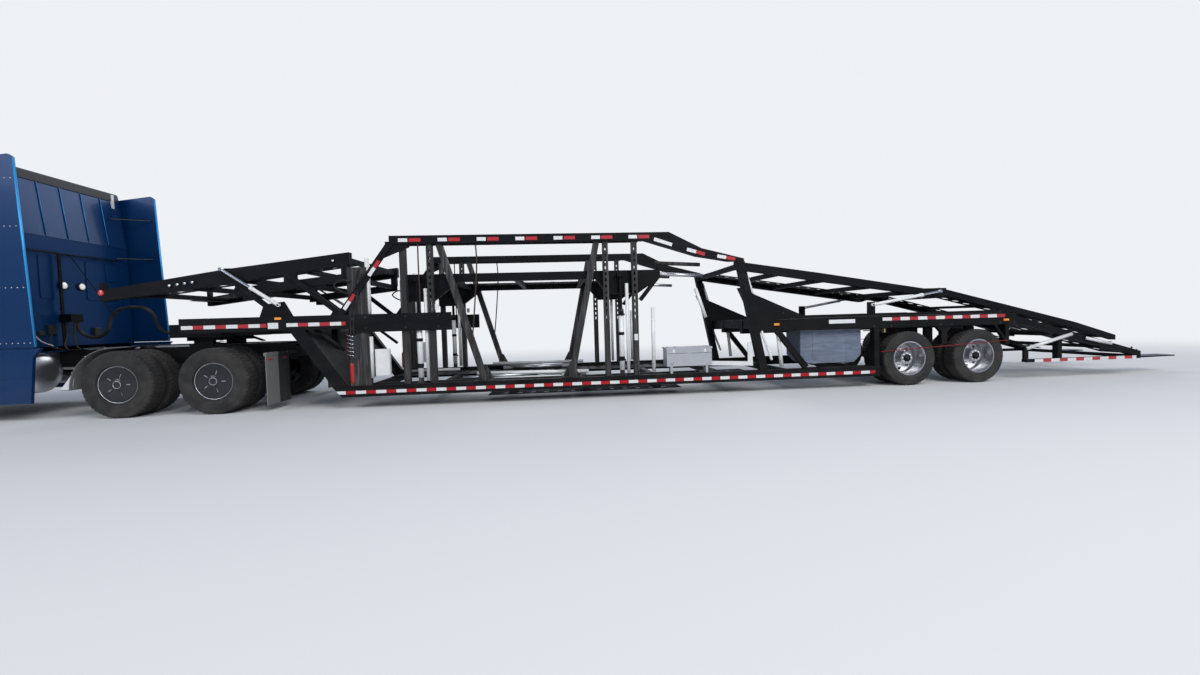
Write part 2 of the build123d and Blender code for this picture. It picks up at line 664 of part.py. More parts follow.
def hood_form(depth):
    """The hood as one solid, its skin moved inwards by depth."""
    with BuildPart() as form:
        side = [(hood_front_x + 20 + depth, 800), (hood_front_x + depth, 1250),
                (hood_front_x + 160 + depth * 0.9, 1540 - depth * 0.4), (-11500, 1860 - depth),
                (cab_front_x - face_gap, 2070 - depth), (cab_front_x - face_gap, 800)]
        plate(side, -hood_half + depth, hood_half - depth)
        for hand in (-1, 1):
            slab([(hood_front_x - 50, hand * (hood_nose_half - depth)), (-11850, hand * (hood_half - 40 - depth)),
                  (-11500, hand * (hood_half - depth)), (-11500, hand * (hood_half + 80)),
                  (hood_front_x - 50, hand * (hood_half + 80))], 700, 2200, Mode.SUBTRACT)
            # The engine cover stands above lower fenders
            with BuildSketch(Plane.YZ.offset(hood_front_x - 60)):
                with BuildLine():
                    Polyline((hand * (1000 - depth), 2200), (hand * (900 - depth), 1560 - depth),
                             (hand * (hood_half + 20), 1420 - depth), (hand * (hood_half + 80), 2200),
                             close=True)
                make_face()
            extrude(amount=cab_front_x - hood_front_x + 100, mode=Mode.SUBTRACT)
    return form.part


hood_outer = hood_form(0)
hood_inner = hood_form(hood_t)

with BuildPart() as hood:
    add(hood_outer)
    add(hood_inner, mode=Mode.SUBTRACT)
    block(-12240, cab_front_x + 50, -1150, 1150, 700, 845, Mode.SUBTRACT)
    block(cab_front_x - 60, cab_front_x + 50, -850, 850, 700, 2020, Mode.SUBTRACT)
    block(hood_front_x - 60, hood_front_x + 330, -grille_half, grille_half, *grille_z, Mode.SUBTRACT)
    for hand in (-1, 1):
        # Lug round the hinge pin, carried by the nose
        block(hood_front_x + 60, hood_hinge[0] + 30, hand * 430, hand * 455, hood_hinge[1] - 30, 1000)
        cross_pin(*hood_hinge, hood_pin_r + pin_clear, hand * 425, hand * 460, Mode.SUBTRACT)
        cross_pin(front_axle_x, tyre_r, arch_r, hand * 1100, hand * 1400, Mode.SUBTRACT)
        block(hood_front_x - 60, -11900, hand * 640, hand * 1300, *lamp_z, Mode.SUBTRACT)
save(hood, "hood")

with BuildPart() as lamp_zone:
    for hand in (-1, 1):
        block(hood_front_x - 60, -11900, hand * 640, hand * 1300, *lamp_z)

with BuildPart() as headlamps:
    add(hood_outer)
    add(hood_inner, mode=Mode.SUBTRACT)
    add(lamp_zone.part, mode=Mode.INTERSECT)
save(headlamps, "headlamps")

grille_x = hood_front_x + 60
with BuildPart() as grille:
    for z in (grille_z[0], grille_z[1] - 30):
        block(grille_x, grille_x + 30, -grille_half, grille_half, z, z + 30)
    for y in range(-415, 416, 83):
        block(grille_x, grille_x + 30, y - 12, y + 12, *grille_z)
    for z in (1090, 1280):
        block(grille_x + 8, grille_x + 22, -grille_half, grille_half, z, z + 14)
save(grille, "grille")

with BuildPart() as bumper:
    slab([(bumper_x, -800), (bumper_x, 800), (bumper_x + 110, 1080), (bumper_x + 420, 1225),
          (bumper_x + 420, 1180), (bumper_x + 150, 1030), (bumper_x + 60, 780),
          (bumper_x + 60, -780), (bumper_x + 150, -1030), (bumper_x + 420, -1180),
          (bumper_x + 420, -1225), (bumper_x + 110, -1080)], 300, 700)
    # Air intake and fog lamp openings
    block(bumper_x - 10, bumper_x + 80, -360, 360, 400, 540, Mode.SUBTRACT)
    for hand in (-1, 1):
        block(bumper_x - 10, bumper_x + 80, hand * 520, hand * 720, 420, 520, Mode.SUBTRACT)
        block(bumper_x + 60, frame_front_x, hand * 345, hand * 395, 560, 690)
        block(frame_front_x - 30, frame_front_x + 200, hand * 345, hand * 395, 560, rail_top - rail_h)
save(bumper, "bumper")

# What stands on the frame behind the front wheels

tank_x0 = -9900
tank_x1 = -7120
dome = 110                  # depth of a tank's domed end
flat_r = 120                # the flat middle of that end
strap_w = 60
with BuildPart() as fuel_tanks:
    for hand in (-1, 1):
        with BuildSketch(Plane(origin=(0, hand * tank_y, tank_z), x_dir=(1, 0, 0), z_dir=(0, -1, 0))) as section:
            with BuildLine():
                Polyline((tank_x0, flat_r), (tank_x0, 0), (tank_x1, 0), (tank_x1, flat_r))
                ThreePointArc((tank_x1, flat_r), (tank_x1 - dome * 0.35, tank_r * 0.78), (tank_x1 - dome, tank_r))
                Line((tank_x1 - dome, tank_r), (tank_x0 + dome, tank_r))
                ThreePointArc((tank_x0 + dome, tank_r), (tank_x0 + dome * 0.35, tank_r * 0.78), (tank_x0, flat_r))
            make_face()
        revolve(section.sketch, axis=Axis((0, hand * tank_y, tank_z), (1, 0, 0)))
        for x in (-9600, -8800, -8000, -7330):
            rod((x - strap_w / 2, hand * tank_y, tank_z), (x + strap_w / 2, hand * tank_y, tank_z), tank_r + 6)
            block(x - 30, x + 30, hand * frame_half, hand * 560, 780, 1000)
save(fuel_tanks, "fuel_tanks")

skirt_t = 45
skirt_low = 270
with BuildPart() as side_fairings:
    for hand in (-1, 1):
        y0, y1 = sorted((hand * (cab_half - skirt_t), hand * cab_half))
        plate([(cab_taper_x, floor_z), (extender_x + 70, floor_z), (extender_x - 50, 960), (extender_x - 120, skirt_low),
               (-10350, skirt_low), (-10350, 500), (cab_taper_x - 1100, 1060), (cab_taper_x - 300, 1060)], y0, y1)
        # Step openings under the door and a crease along the skirt
        for z in (420, 700):
            block(-10080, -9480, y0, y1, z, z + 150, Mode.SUBTRACT)
            block(-10100, -9460, hand * (tank_y + tank_r + 15), hand * (cab_half - skirt_t), z - 20, z)
        block(-9400, extender_x, hand * (cab_half - 4), hand * (cab_half + 4), 640, 652, Mode.SUBTRACT)
        for x in (-9480, -7170):
            block(x - 30, x + 30, hand * frame_half, hand * (cab_half - skirt_t), 1015, 1028)
save(side_fairings, "side_fairings")

seat_y = 520
seat_half = 260
with BuildPart() as cab_interior:
    # Dashboard with the steering column and wheel
    dash_half = cab_nose_half - 110
    block(cab_front_x + wall, -10000, -dash_half, dash_half, 1500, 1980)
    column = (-9860, -seat_y, 1960)
    rod((-10050, -seat_y, 1860), column, 30)
    with BuildSketch(Plane(origin=column, x_dir=(0, 1, 0), z_dir=(0.89, 0, 0.46))) as wheel:
        Circle(225)
        Circle(195, mode=Mode.SUBTRACT)
        Rectangle(400, 40)
    extrude(wheel.sketch, amount=15, both=True)
    # Seats: a base, a cushion and a back that leans
    for hand in (-1, 1):
        y0, y1 = hand * (seat_y - seat_half), hand * (seat_y + seat_half)
        block(-9580, -9200, hand * (seat_y - 150), hand * (seat_y + 150), floor_z + wall, 1480)
        plate([(-9680, 1480), (-9140, 1480), (-9120, 1620), (-9680, 1640)], y0, y1, radius=30)
        plate([(-9260, 1600), (-9120, 1600), (-9010, 2340), (-9110, 2360)], y0, y1, radius=30)
    # Bunk with its mattress
    bunk_half = cab_half - wall - 40
    block(-8650, cab_rear_x - wall - 30, -bunk_half, bunk_half, floor_z + wall, 1560)
    block(-8630, cab_rear_x - wall - 40, -bunk_half + 20, bunk_half - 20, 1560, 1750)
save(cab_interior, "cab_interior")

throat = 200                # half width of the coupling plate's mouth
with BuildPart() as fifth_wheel:
    with BuildSketch(Plane.XY.offset(plate_z - 60)):
        with Locations((kingpin_x, 0)):
            Circle(460)
            Circle(kingpin_r + pin_clear, mode=Mode.SUBTRACT)
        with BuildLine():
            Polyline((kingpin_x + 10, -kingpin_r - pin_clear), (kingpin_x + 10, kingpin_r + pin_clear),
                     (kingpin_x + 480, throat), (kingpin_x + 480, -throat), close=True)
        make_face(mode=Mode.SUBTRACT)
    extrude(amount=60)
    for hand in (-1, 1):
        # Pickup ramp behind the plate, and the pivot bracket on the frame
        plate([(kingpin_x + 330, plate_z), (kingpin_x + 560, plate_z - 95), (kingpin_x + 550, plate_z - 110),
               (kingpin_x + 330, plate_z - 30)], hand * (throat + 20), hand * (throat + 110))
        block(kingpin_x - 150, kingpin_x + 150, hand * 345, hand * 425, rail_top, plate_z - 60)
save(fifth_wheel, "fifth_wheel")

fender_centre = (drive_axles_x[0] - 40, 450)
fender_r = 620
fender_y = (640, 1240)
with BuildPart() as drive_fenders:
    for hand in (-1, 1):
        y0, y1 = hand * fender_y[0], hand * fender_y[1]
        # Quarter fender ahead of the front drive wheel, its bracket and its foot
        arched(fender_centre, fender_r - 7, fender_r, 88, 92, y0, y1)
        for x, z in ((-6290, 800), (-5860, 1040)):
            block(x - 20, x + 20, hand * frame_half, y0 + hand * 20, z - 20, z + 20)
        plate([(-6417, 450), (-6590, 450), (-6362, 760)], hand * 1180, hand * 1188)
        # Mud flap on its hanger
        block(frame_rear_x - 40, frame_rear_x, hand * frame_half, hand * 1255, 870, 920)
        block(frame_rear_x - 20, frame_rear_x - 8, hand * fender_y[0], hand * 1255, 110, 870)
save(drive_fenders, "drive_fenders")

# Trailer: gooseneck

neck_cross_top = 1400
bracket_pins = (arm_front, arm_rear)

with BuildPart() as gooseneck:
    block(kingpin_x - 520, kingpin_x + 520, -550, 550, plate_z, plate_z + 14)
    rod((kingpin_x, 0, plate_z - 75), (kingpin_x, 0, plate_z + 10), kingpin_r)
    # Nose plate with the sockets of the air and electric line
    block(line_points[-1][0], line_points[-1][0] + 20, -frame_half, frame_half, plate_z + 14, neck_cross_top)
    for hand in (-1, 1):
        block(kingpin_x - 520, -3080, hand * 330, hand * frame_half, plate_z + 14, neck_cross_top)
        # Side beam, which goes on behind the tower as an outer plate
        block(neck_front_x, tower_x0, hand * side_in, hand * side_out, neck_z, neck_top)
        block(tower_x0, -800, hand * skin_in, hand * side_out, neck_z - 60, neck_top)
        # Brackets of the arms and of the cylinder
        plate([(-3690, neck_top), (-3200, neck_top), (-3320, 1700), (-3620, 1660)],
              hand * bracket_in, hand * bracket_out)
        plate([(-2650, neck_top), (-2460, neck_top), (-2510, 1540), (-2600, 1540)],
              hand * bracket_in, hand * bracket_out)
        for x, z in bracket_pins:
            cross_pin(x, z, arm_pin_r, hand * arm_y0, hand * bracket_out)
        cross_pin(*foot_pin, foot_pin_r, hand * bracket_in, hand * side_out)
        # Drop leg down to the lower rail, with a web behind it
        plate([(-3240, neck_z), (-3010, neck_z), (-2400, rail_low_top), (-2640, rail_low_top)],
              hand * side_in, hand * side_out)
        # Landing leg
        block(-2950, -2850, hand * 455, hand * 555, 520, neck_z)
        block(-2990, -2810, hand * 415, hand * 595, 500, 520)
    for x0, x1 in ((neck_front_x, -4690), (-4050, -3950), (-3200, -3080), (-2950, -2850)):
        block(x0, x1, -side_in, side_in, neck_z, neck_cross_top)
    # Sloping bulkhead between the drop legs
    plate([(-3100, neck_z), (-3080, neck_z), (-2500, rail_low_top), (-2520, rail_low_top)], -side_in, side_in)
save(gooseneck, "gooseneck")

# Trailer: what rises from the gooseneck and the lower rails

post_in = side_in
post_out = skin_in
post_rows = [  # x of the middle, length along x, foot z, top z, rows of locking slots
    (-2215, 290, rail_low_top, 2200, 0),
    (-1520, 90, rail_low_top, top_z, 0),
    (-1110, 90, rail_low_top, top_z, 12),
    (1660, 90, rail_low_top, top_z, 12),
    (2130, 90, rail_low_top, top_z, 12),
]
strut_rows = [  # foot x, top x
    (-320, -960),
    (1060, 1520),
]
slot_pitch = 100
foot_t = 14
lift_rows = (-1315, 1895)   # x of the mid deck's lifting cylinders
lift_y = 1205
lift_barrel_r = 40
lift_rod_r = 25
lift_top = 1450

with BuildPart() as uprights:
    for x, length, z0, z1, slots in post_rows:
        for hand in (-1, 1):
            with BuildSketch(Plane.XZ.offset(-hand * post_in)) as post:
                with Locations((x, (z0 + z1) / 2)):
                    Rectangle(length, z1 - z0)
                for i in range(slots):
                    with Locations((x, top_z - 120 - i * slot_pitch)):
                        Rectangle(28, 50, mode=Mode.SUBTRACT)
            extrude(post.sketch, amount=-hand * (post_out - post_in))
    for x0, x1 in strut_rows:
        for hand in (-1, 1):
            y0, y1 = hand * post_in, hand * post_out
            plate([(x0 - 50, rail_low_top), (x0 + 50, rail_low_top), (x1 + 50, top_z), (x1 - 50, top_z)], y0, y1)
            # Foot plate with a gusset on each side of the strut
            block(x0 - 170, x0 + 170, y0, y1, rail_low_top, rail_low_top + foot_t)
            plate([(x0 - 150, rail_low_top), (x0 + 150, rail_low_top), (x0 + 10, 620), (x0 - 10, 620)],
                  y0, hand * (post_in + 12))
    # Barrels that the mid deck's rods slide in
    for hand in (-1, 1):
        for x in lift_rows:
            rod((x, hand * lift_y, rail_low_top), (x, hand * lift_y, lift_top), lift_barrel_r)
            rod((x, hand * lift_y, rail_low_top), (x, hand * lift_y, rail_low_top + foot_t), lift_barrel_r + 25)
            rod((x, hand * lift_y, lift_top - 50), (x, hand * lift_y, lift_top), lift_barrel_r + 4)
            rod((x, hand * lift_y, rail_low_top + 60), (x, hand * lift_y, lift_top + 5),
                lift_rod_r + pin_clear, Mode.SUBTRACT)
save(uprights, "uprights")

with BuildPart() as top_rails:
    for hand in (-1, 1):
        # Rail over the cars, which bends down to the gantry behind them
        plate([(top_front_x, top_z), (2300, top_z), (3150, 2275), (3700, gantry_leg_top),
               (3950, gantry_leg_top), (3950, gantry_leg_top + 40), (3240, 2400), (top_rear_x, top_z + top_h),
               (top_front_x, top_z + top_h)], hand * side_in, hand * side_out)
        # Front diagonal with a gusset under the rail
        plate([(-2530, neck_top), (-2410, neck_top), (top_front_x + 60, top_z), (top_front_x - 60, top_z)],
              hand * skin_in, hand * side_out)
        plate([(top_front_x - 60, top_z), (top_front_x + 320, top_z), (top_front_x + 300, top_z - 50),
               (top_front_x - 140, top_z - 230)], hand * skin_in, hand * (skin_in + 12))
        block(top_front_x - 60, top_front_x, hand * skin_in, hand * side_out, top_z, top_z + 40)
save(top_rails, "top_rails")

trailer_axles_x = (bogie_x, bogie_x + bogie_spread)
hanger_rows = (bogie_x - 600, bogie_x + bogie_spread / 2, bogie_x + bogie_spread + 500)
hanger_y = (460, 540)
post_x = (hanger_rows[1] - 55, hanger_rows[1] + 55)

with BuildPart() as trailer_chassis:
    for hand in (-1, 1):
        y0, y1 = hand * side_in, hand * half_width
        plate([(-2640, rail_low_top), (-2500, rail_low_z), (rail_low_rear_x, rail_low_z),
               (rail_low_rear_x, rail_low_top)], y0, y1)
        # Rear side plate and the beam over the wheels
        plate([(3860, 1740), (4960, beam_top), (frame_end_x, beam_top),
               (frame_end_x, beam_z), (4200, beam_z)], y0, hand * side_out)
        block(6200, rail_low_rear_x, y0, hand * side_out, rail_low_top, beam_z)
        bar((5000, rail_low_top + 20), (4500, beam_z + 20), 90, hand * 1200, hand * side_out)
        # Post between the wheels with its gussets, and the end plate with its brace
        plate([(post_x[0] - 90, beam_z), (post_x[1] + 90, beam_z), (post_x[1], 900), (post_x[1] - 10, 690),
               (post_x[0] + 10, 690), (post_x[0], 900)], hand * (side_in + 30), hand * (side_out - 20))
        block(8600, frame_end_x, y0, hand * side_out, 660, beam_z)
        bar((8400, beam_z + 10), (8625, 700), 36, hand * (side_out - 60), hand * side_out)
        # Gantry leg that carries the rear upper deck
        plate([(3830, gantry_leg_top), (3960, gantry_leg_top), (4330, rail_low_top), (4200, rail_low_top)],
              y0, hand * side_out)
        cross_pin(*gantry, gantry_pin_r + pin_clear, hand * (side_in - 5), hand * 1225, Mode.SUBTRACT)
        # Inner beams with the hangers of the springs
        block(4180, frame_end_x, hand * 440, hand * 560, beam_z - 50, beam_z + 190)
        for x in hanger_rows:
            block(x - 80, x + 80, hand * hanger_y[0], hand * hanger_y[1], 560, beam_z - 50)
        # Feet of the rear deck's cylinders, and the hinges of the tail ramp
        block(6150, rail_low_rear_x, hand * side_in, hand * (side_in + 20), beam_top, 1450)
        cross_pin(*rear_foot, foot_pin_r, hand * side_in, hand * 1245)
        block(frame_end_x, tail_hinge[0] + 50, y0, hand * side_out, beam_z + 60, beam_z + 190)
        cross_pin(*tail_hinge, tail_pin_r + pin_clear, hand * (side_in - 5), hand * 1205, Mode.SUBTRACT)
    for x in (-2300, -1100, 100, 1300, 2500, 3700, 4900, 6240):
        block(x - 50, x + 50, -side_in, side_in, rail_low_z, rail_low_z + 110)
    for x in (4240, 5600, 6700, 7500, 8620):
        block(x - 50, x + 50, -side_in, side_in, beam_z + 40, beam_z + 190)
save(trailer_chassis, "trailer_chassis")

leaf_t = 18
with BuildPart() as trailer_axles:
    for x in trailer_axles_x:
        tube_end = t_outer - t_tyre_w - t_dual_pitch - 60
        spindle_end = t_outer - 94
        turned(x, t_tyre_r, [(-spindle_end, 0), (-spindle_end, t_spindle_r), (-tube_end, t_spindle_r),
                             (-tube_end, 65), (tube_end, 65), (tube_end, t_spindle_r),
                             (spindle_end, t_spindle_r), (spindle_end, 0)])
        for hand in (-1, 1):
            y0, y1 = hand * 465, hand * 535
            # Leaves, longest on top, seated on the axle's tube
            for i, half in enumerate((560, 430, 300)):
                z1 = 560 - i * leaf_t
                block(x - half, x + half, y0, y1, z1 - leaf_t, z1)
            block(x - 70, x + 70, y0, y1, t_tyre_r + 40, 560 - 3 * leaf_t)
            rod((x - 60, hand * 360, t_tyre_r), (x - 210, hand * 360, t_tyre_r + 15), 65)
save(trailer_axles, "trailer_axles")

for axle, x in zip(("trailer_front", "trailer_rear"), trailer_axles_x):
    for side, hand in (("left", -1), ("right", 1)):
        wheel_pair(f"{axle}_{side}", x, t_tyre_r, hand, t_outer, t_tyre_w, t_dual_pitch, t_tyre_r, t_rim_r,
                   t_spindle_r + pin_clear, 90, covered=False)

lower_runner_z = rail_low_z + 110
belly_z = 104
with BuildPart() as lower_deck:
    for hand in (-1, 1):
        runner((-2350, lower_runner_z), (4150, lower_runner_z), hand * runner_in, hand * 1100)
        block(-2350, 4150, hand * 1100, hand * 1120, lower_runner_z, lower_runner_z + 40)
        runner((4300, beam_z + 190), (frame_end_x, beam_z + 190), hand * 570, hand * 1100)
        # Belly runner hung under the crossmembers
        runner((-300, belly_z), (2900, belly_z), hand * 560, hand * 1100)
        for x in (100, 1300, 2500):
            block(x - 50, x + 50, hand * 560, hand * 1100, belly_z + runner_t, rail_low_z)
save(lower_deck, "lower_deck")

# Head deck, its two pairs of arms and its cylinders

deck_rows = [  # x and z of the underside, height: crossmembers of the head deck
    (-5620, 1840, 80), (-4900, 1930, 80), (-4180, 2040, 90), (-3300, 2190, 80), (-2440, 2300, 80),
    (-4020, 1840, 80), (-3200, 1930, 80), (-2460, 2020, 80),
]
with BuildPart() as head_deck:
    for hand in (-1, 1):
        y0, y1 = hand * deck_in, hand * deck_out
        # Front box rail, the rail behind the break, and the tube under it
        plate([(-5970, 1770), (-4200, 2000), (-4200, 2220), (-5970, 1940)], y0, y1)
        plate([(-4200, 2000), (-2360, 2260), (-2360, 2450), (-4200, 2220)], y0, y1)
        plate([(-4080, 1800), (-2400, 1990), (-2400, 2120), (-4080, 1930)], y0, y1)
        for x in (-4020, -3300, -2440):
            z0 = between((-4080, 1900), (-2400, 2090), x)
            z1 = between((-4200, 2030), (-2360, 2290), x)
            block(x - 50, x + 50, y0, y1, z0, z1)
        block(-3960, -3820, y0, y1, 1740, 1850)
        # Row of pin holes for the chains, and the stop at the tip
        for x in (-5000, -4885, -4780, -4670):
            cross_pin(x, between((-5970, 1860), (-4200, 2110), x), 14, hand * (deck_in - 5), hand * (deck_out + 5),
                      Mode.SUBTRACT)
        block(-6000, -5960, y0, y1, 1770, 2050)
        # Pins of the arms and of the cylinder
        for x, z in (head_front, head_rear):
            cross_pin(x, z, arm_pin_r, hand * (deck_out - 20), hand * arm_y1)
        cross_pin(*head_pin, head_pin_r, hand * (deck_out - 20), hand * (rod_y - eye_half - face_gap))
        block(head_pin[0] - 60, head_pin[0] + 60, hand * (deck_out - 20), hand * deck_out,
              head_pin[1] - 80, head_pin[1] + 25)
        block(head_rear[0] - 45, head_rear[0] + 45, hand * (deck_out - 30), y1, head_rear[1] - 70,
              head_rear[1] + 110)
        runner((-5900, 1840), (-4150, 2070), hand * runner_in, y0)
        runner((-4150, 2090), (-2400, 2330), hand * runner_in, y0)
    for x, z, height in deck_rows:
        block(x - 40, x + 40, -deck_in, deck_in, z, z + height)
save(head_deck, "head_deck")

arm_depth = arm_w - 15
for name, foot, head in (("head_arms_front", arm_front, head_front), ("head_arms_rear", arm_rear, head_rear)):
    with BuildPart() as arms:
        for hand in (-1, 1):
            bar(foot, head, arm_depth, hand * arm_y0, hand * arm_y1)
            for x, z in (foot, head):
                cross_pin(x, z, arm_depth / 2, hand * arm_y0, hand * arm_y1)
                cross_pin(x, z, arm_pin_r + pin_clear, hand * (arm_y0 - 5), hand * (arm_y1 + 5), Mode.SUBTRACT)
    save(arms, name)

cylinder_len, heading = axis_between(foot_pin, head_pin)

with BuildPart() as head_barrels:
    for hand in (-1, 1):
        barrel(foot_pin, heading, 480, hand * rod_y)
save(head_barrels, "head_barrels")

with BuildPart() as head_rods:
    for hand in (-1, 1):
        piston(foot_pin, head_pin, heading, cylinder_len, hand * rod_y)
save(head_rods, "head_rods")

# Mid deck, which slides up and down between the posts on four rods

mid_rear_x = 2570
mid_z = 1950
mid_h = 130
mid_runner_z = mid_z + 90
with BuildPart() as mid_deck:
    for hand in (-1, 1):
        y0, y1 = hand * deck_in, hand * deck_out
        plate([(-1560, mid_z + mid_h), (mid_rear_x, mid_z + mid_h), (mid_rear_x, mid_z),
               (2200, 1700), (1700, 1700), (1500, mid_z), (-700, mid_z), (-1100, 1650), (-1560, 1650)],
              y0, y1)
        bar((mid_rear_x - 30, mid_z + 10), (mid_rear_x - 330, 1590), 60, y0, y1)
        for x in lift_rows:
            block(x - 50, x + 50, y1, hand * (lift_y + 40), mid_z + 20, mid_runner_z)
            rod((x, hand * lift_y, 950), (x, hand * lift_y, mid_z + 40), lift_rod_r)
        runner((-1500, mid_runner_z), (mid_rear_x, mid_runner_z), hand * runner_in, y0)
    for x in (-1500, -900, 200, 1300, 2500):
        block(x - 40, x + 40, -deck_in, deck_in, mid_z + 10, mid_runner_z)
save(mid_deck, "mid_deck")

# Rear upper deck, its cylinders and the two ramps

with BuildPart() as rear_deck:
    for hand in (-1, 1):
        y0, y1 = hand * deck_in, hand * deck_out
        plate([(3860, 2060), (5310, 1830), (7500, 1500), (7620, 1530), (7620, 1660), (7210, 1660),
               (5310, 1970), (3860, 2190)], y0, y1)
        cross_pin(*gantry, gantry_pin_r, y1, hand * 1220)
        cross_pin(*rear_head, head_pin_r, y1, hand * (rear_rod_y - eye_half - face_gap))
        cross_pin(*rear_end, rear_end_pin_r + pin_clear, hand * (deck_in - 5), hand * (deck_out + 5), Mode.SUBTRACT)
        runner((3880, 2145), (7400, 1608), hand * runner_in, y0)
    for x, z in ((3920, 2070), (4700, 1950), (5500, 1820), (6400, 1690), (7200, 1570)):
        block(x - 40, x + 40, -deck_in, deck_in, z, z + 80)
save(rear_deck, "rear_deck")

rear_len, rear_heading = axis_between(rear_foot, rear_head)
with BuildPart() as rear_barrels:
    for hand in (-1, 1):
        barrel(rear_foot, rear_heading, 910, hand * rear_rod_y)
save(rear_barrels, "rear_barrels")

with BuildPart() as rear_rods:
    for hand in (-1, 1):
        piston(rear_foot, rear_head, rear_heading, rear_len, hand * rear_rod_y)
save(rear_rods, "rear_rods")

ramp_out = deck_in - face_gap
ramp_in = 905
with BuildPart() as upper_ramp:
    for hand in (-1, 1):
        y0, y1 = hand * ramp_in, hand * ramp_out
        plate([(7510, 1540), (7700, 1530), (10220, 880), (11030, 640), (11030, 730), (10220, 990),
               (7600, 1670), (7510, 1640)], y0, y1)
        cross_pin(*rear_end, rear_end_pin_r, y1, hand * deck_out)
        runner((7650, 1600), (10208, 933), hand * runner_in, y0)
        runner((10232, 926), (11030, 690), hand * runner_in, y0)
    for x, z in ((7900, 1500), (8700, 1300), (9500, 1090), (10300, 880), (10960, 680)):
        block(x - 30, x + 30, -ramp_in, ramp_in, z, z + 50)
save(upper_ramp, "upper_ramp")

tail_in = 1040
tail_end_x = 11390
tip_x = 12400
with BuildPart() as tail_ramp:
    for hand in (-1, 1):
        y0, y1 = hand * tail_in, hand * 1140
        plate([(8700, 1060), (8760, 1060), (tail_end_x, 320), (tail_end_x, 430), (8760, 1190), (8700, 1190)], y0, y1)
        block(9750, 9830, y0, y1, 320, 850)
        block(9150, tail_end_x, y0, y1, 300, 350)
        # Loading flap, narrower towards its tip
        slab([(tail_end_x, hand * 560), (tip_x, hand * 640), (tip_x, hand * 920), (tail_end_x, hand * 1000)],
             290, 310)
        cross_pin(*tail_hinge, tail_pin_r, y1, hand * 1200)
        runner((8900, 1060), (11300, 385), hand * 560, y0)
    for x, z in ((8960, 1010), (9800, 780), (10700, 500), (11350, 300)):
        block(x - 40, x + 40, -tail_in, tail_in, z, z + 60)
save(tail_ramp, "tail_ramp")

# Boxes and lamps on the trailer

box_y = (-1290, -1000)
tank_box_y = (-1150, -650)
with BuildPart() as side_boxes:
    # Toolbox with a lid that stands over its edges, a latch and two feet
    block(2620, 3370, *box_y, 480, 760)
    block(2610, 3380, box_y[0] - 5, box_y[1], 760, 790)
    block(2960, 3030, box_y[0] - 5, box_y[0], 690, 770)
    for x in (2700, 3290):
        block(x - 20, x + 20, -1270, -side_in, rail_low_top, 480)
    # Hydraulic tank with its two straps
    plate([(4960, 560), (5090, 430), (5910, 430), (6040, 560), (6040, beam_z + 40), (4960, beam_z + 40)],
          *tank_box_y)
    for x in (5200, 5800):
        block(x - 25, x + 25, tank_box_y[0] - 4, tank_box_y[1] + 4, 426, beam_z + 40)
save(side_boxes, "side_boxes")

with BuildPart() as trailer_lamps:
    for hand in (-1, 1):
        for x, z, length in ((-3430, 1420, 90), (4440, 1100, 90), (8560, 1060, 90)):
            block(x, x + length, hand * side_out, hand * (side_out + 15), z, z + 35)
        with Locations((frame_end_x + 10, hand * 800, 1130)):
            Box(20, 160, 60)
save(trailer_lamps, "trailer_lamps")


def bend_radii(points, share=0.45):
    """The largest bend each corner of a route has room for."""
    radii = []
    for a, b, c in zip(points, points[1:], points[2:]):
        before = Vector(*b) - Vector(*a)
        after = Vector(*c) - Vector(*b)
        turn = radians(before.get_angle(after))
        radii.append(share * min(before.length, after.length) / tan(turn / 2))
    return radii


line_radii = bend_radii(line_points)
print("air line radii", [round(r) for r in line_radii])
with BuildPart() as air_line:
    with BuildLine() as route:
        FilletPolyline(*line_points, radius=line_radii)
    with BuildSketch(Plane(origin=line_points[0], z_dir=Vector(*line_points[1]) - Vector(*line_points[0]))):
        Circle(line_r)
    sweep(path=route.wires()[0])
save(air_line, "air_line")
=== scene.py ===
"""Looks of the car transporter truck: finishes, tyres, tape, lamps, hoses, trim, camera and light."""

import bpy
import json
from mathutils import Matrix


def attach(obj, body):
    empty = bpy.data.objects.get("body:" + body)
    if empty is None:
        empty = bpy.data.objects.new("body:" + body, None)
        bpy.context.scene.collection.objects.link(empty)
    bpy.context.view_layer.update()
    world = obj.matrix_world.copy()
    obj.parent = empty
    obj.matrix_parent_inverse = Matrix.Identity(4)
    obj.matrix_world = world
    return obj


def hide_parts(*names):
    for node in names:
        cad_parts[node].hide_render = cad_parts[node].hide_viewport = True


bl_info = {
    "name": "Car transporter truck looks",
    "version": (1, 0, 0),
    "blender": (4, 5, 0),
    "location": "3D View > Sidebar > Transporter",
    "description": "Dresses the car transporter truck: paint, tyres, tape, lamps, hoses, trim and stage",
    "category": "Object",
}
import itertools
import json
import math
from collections import namedtuple

import bpy
import numpy as np
from bpy.props import FloatProperty, FloatVectorProperty, IntProperty, PointerProperty
from mathutils import Matrix, Vector

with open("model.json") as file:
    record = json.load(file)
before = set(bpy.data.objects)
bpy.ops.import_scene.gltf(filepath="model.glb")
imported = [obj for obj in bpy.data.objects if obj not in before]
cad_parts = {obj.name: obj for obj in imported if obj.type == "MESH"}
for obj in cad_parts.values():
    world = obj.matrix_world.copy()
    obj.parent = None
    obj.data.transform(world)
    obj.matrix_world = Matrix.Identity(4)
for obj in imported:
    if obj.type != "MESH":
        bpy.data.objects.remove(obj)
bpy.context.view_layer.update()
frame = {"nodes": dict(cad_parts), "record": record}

X, Y, Z = range(3)          # an axis is its column in a point

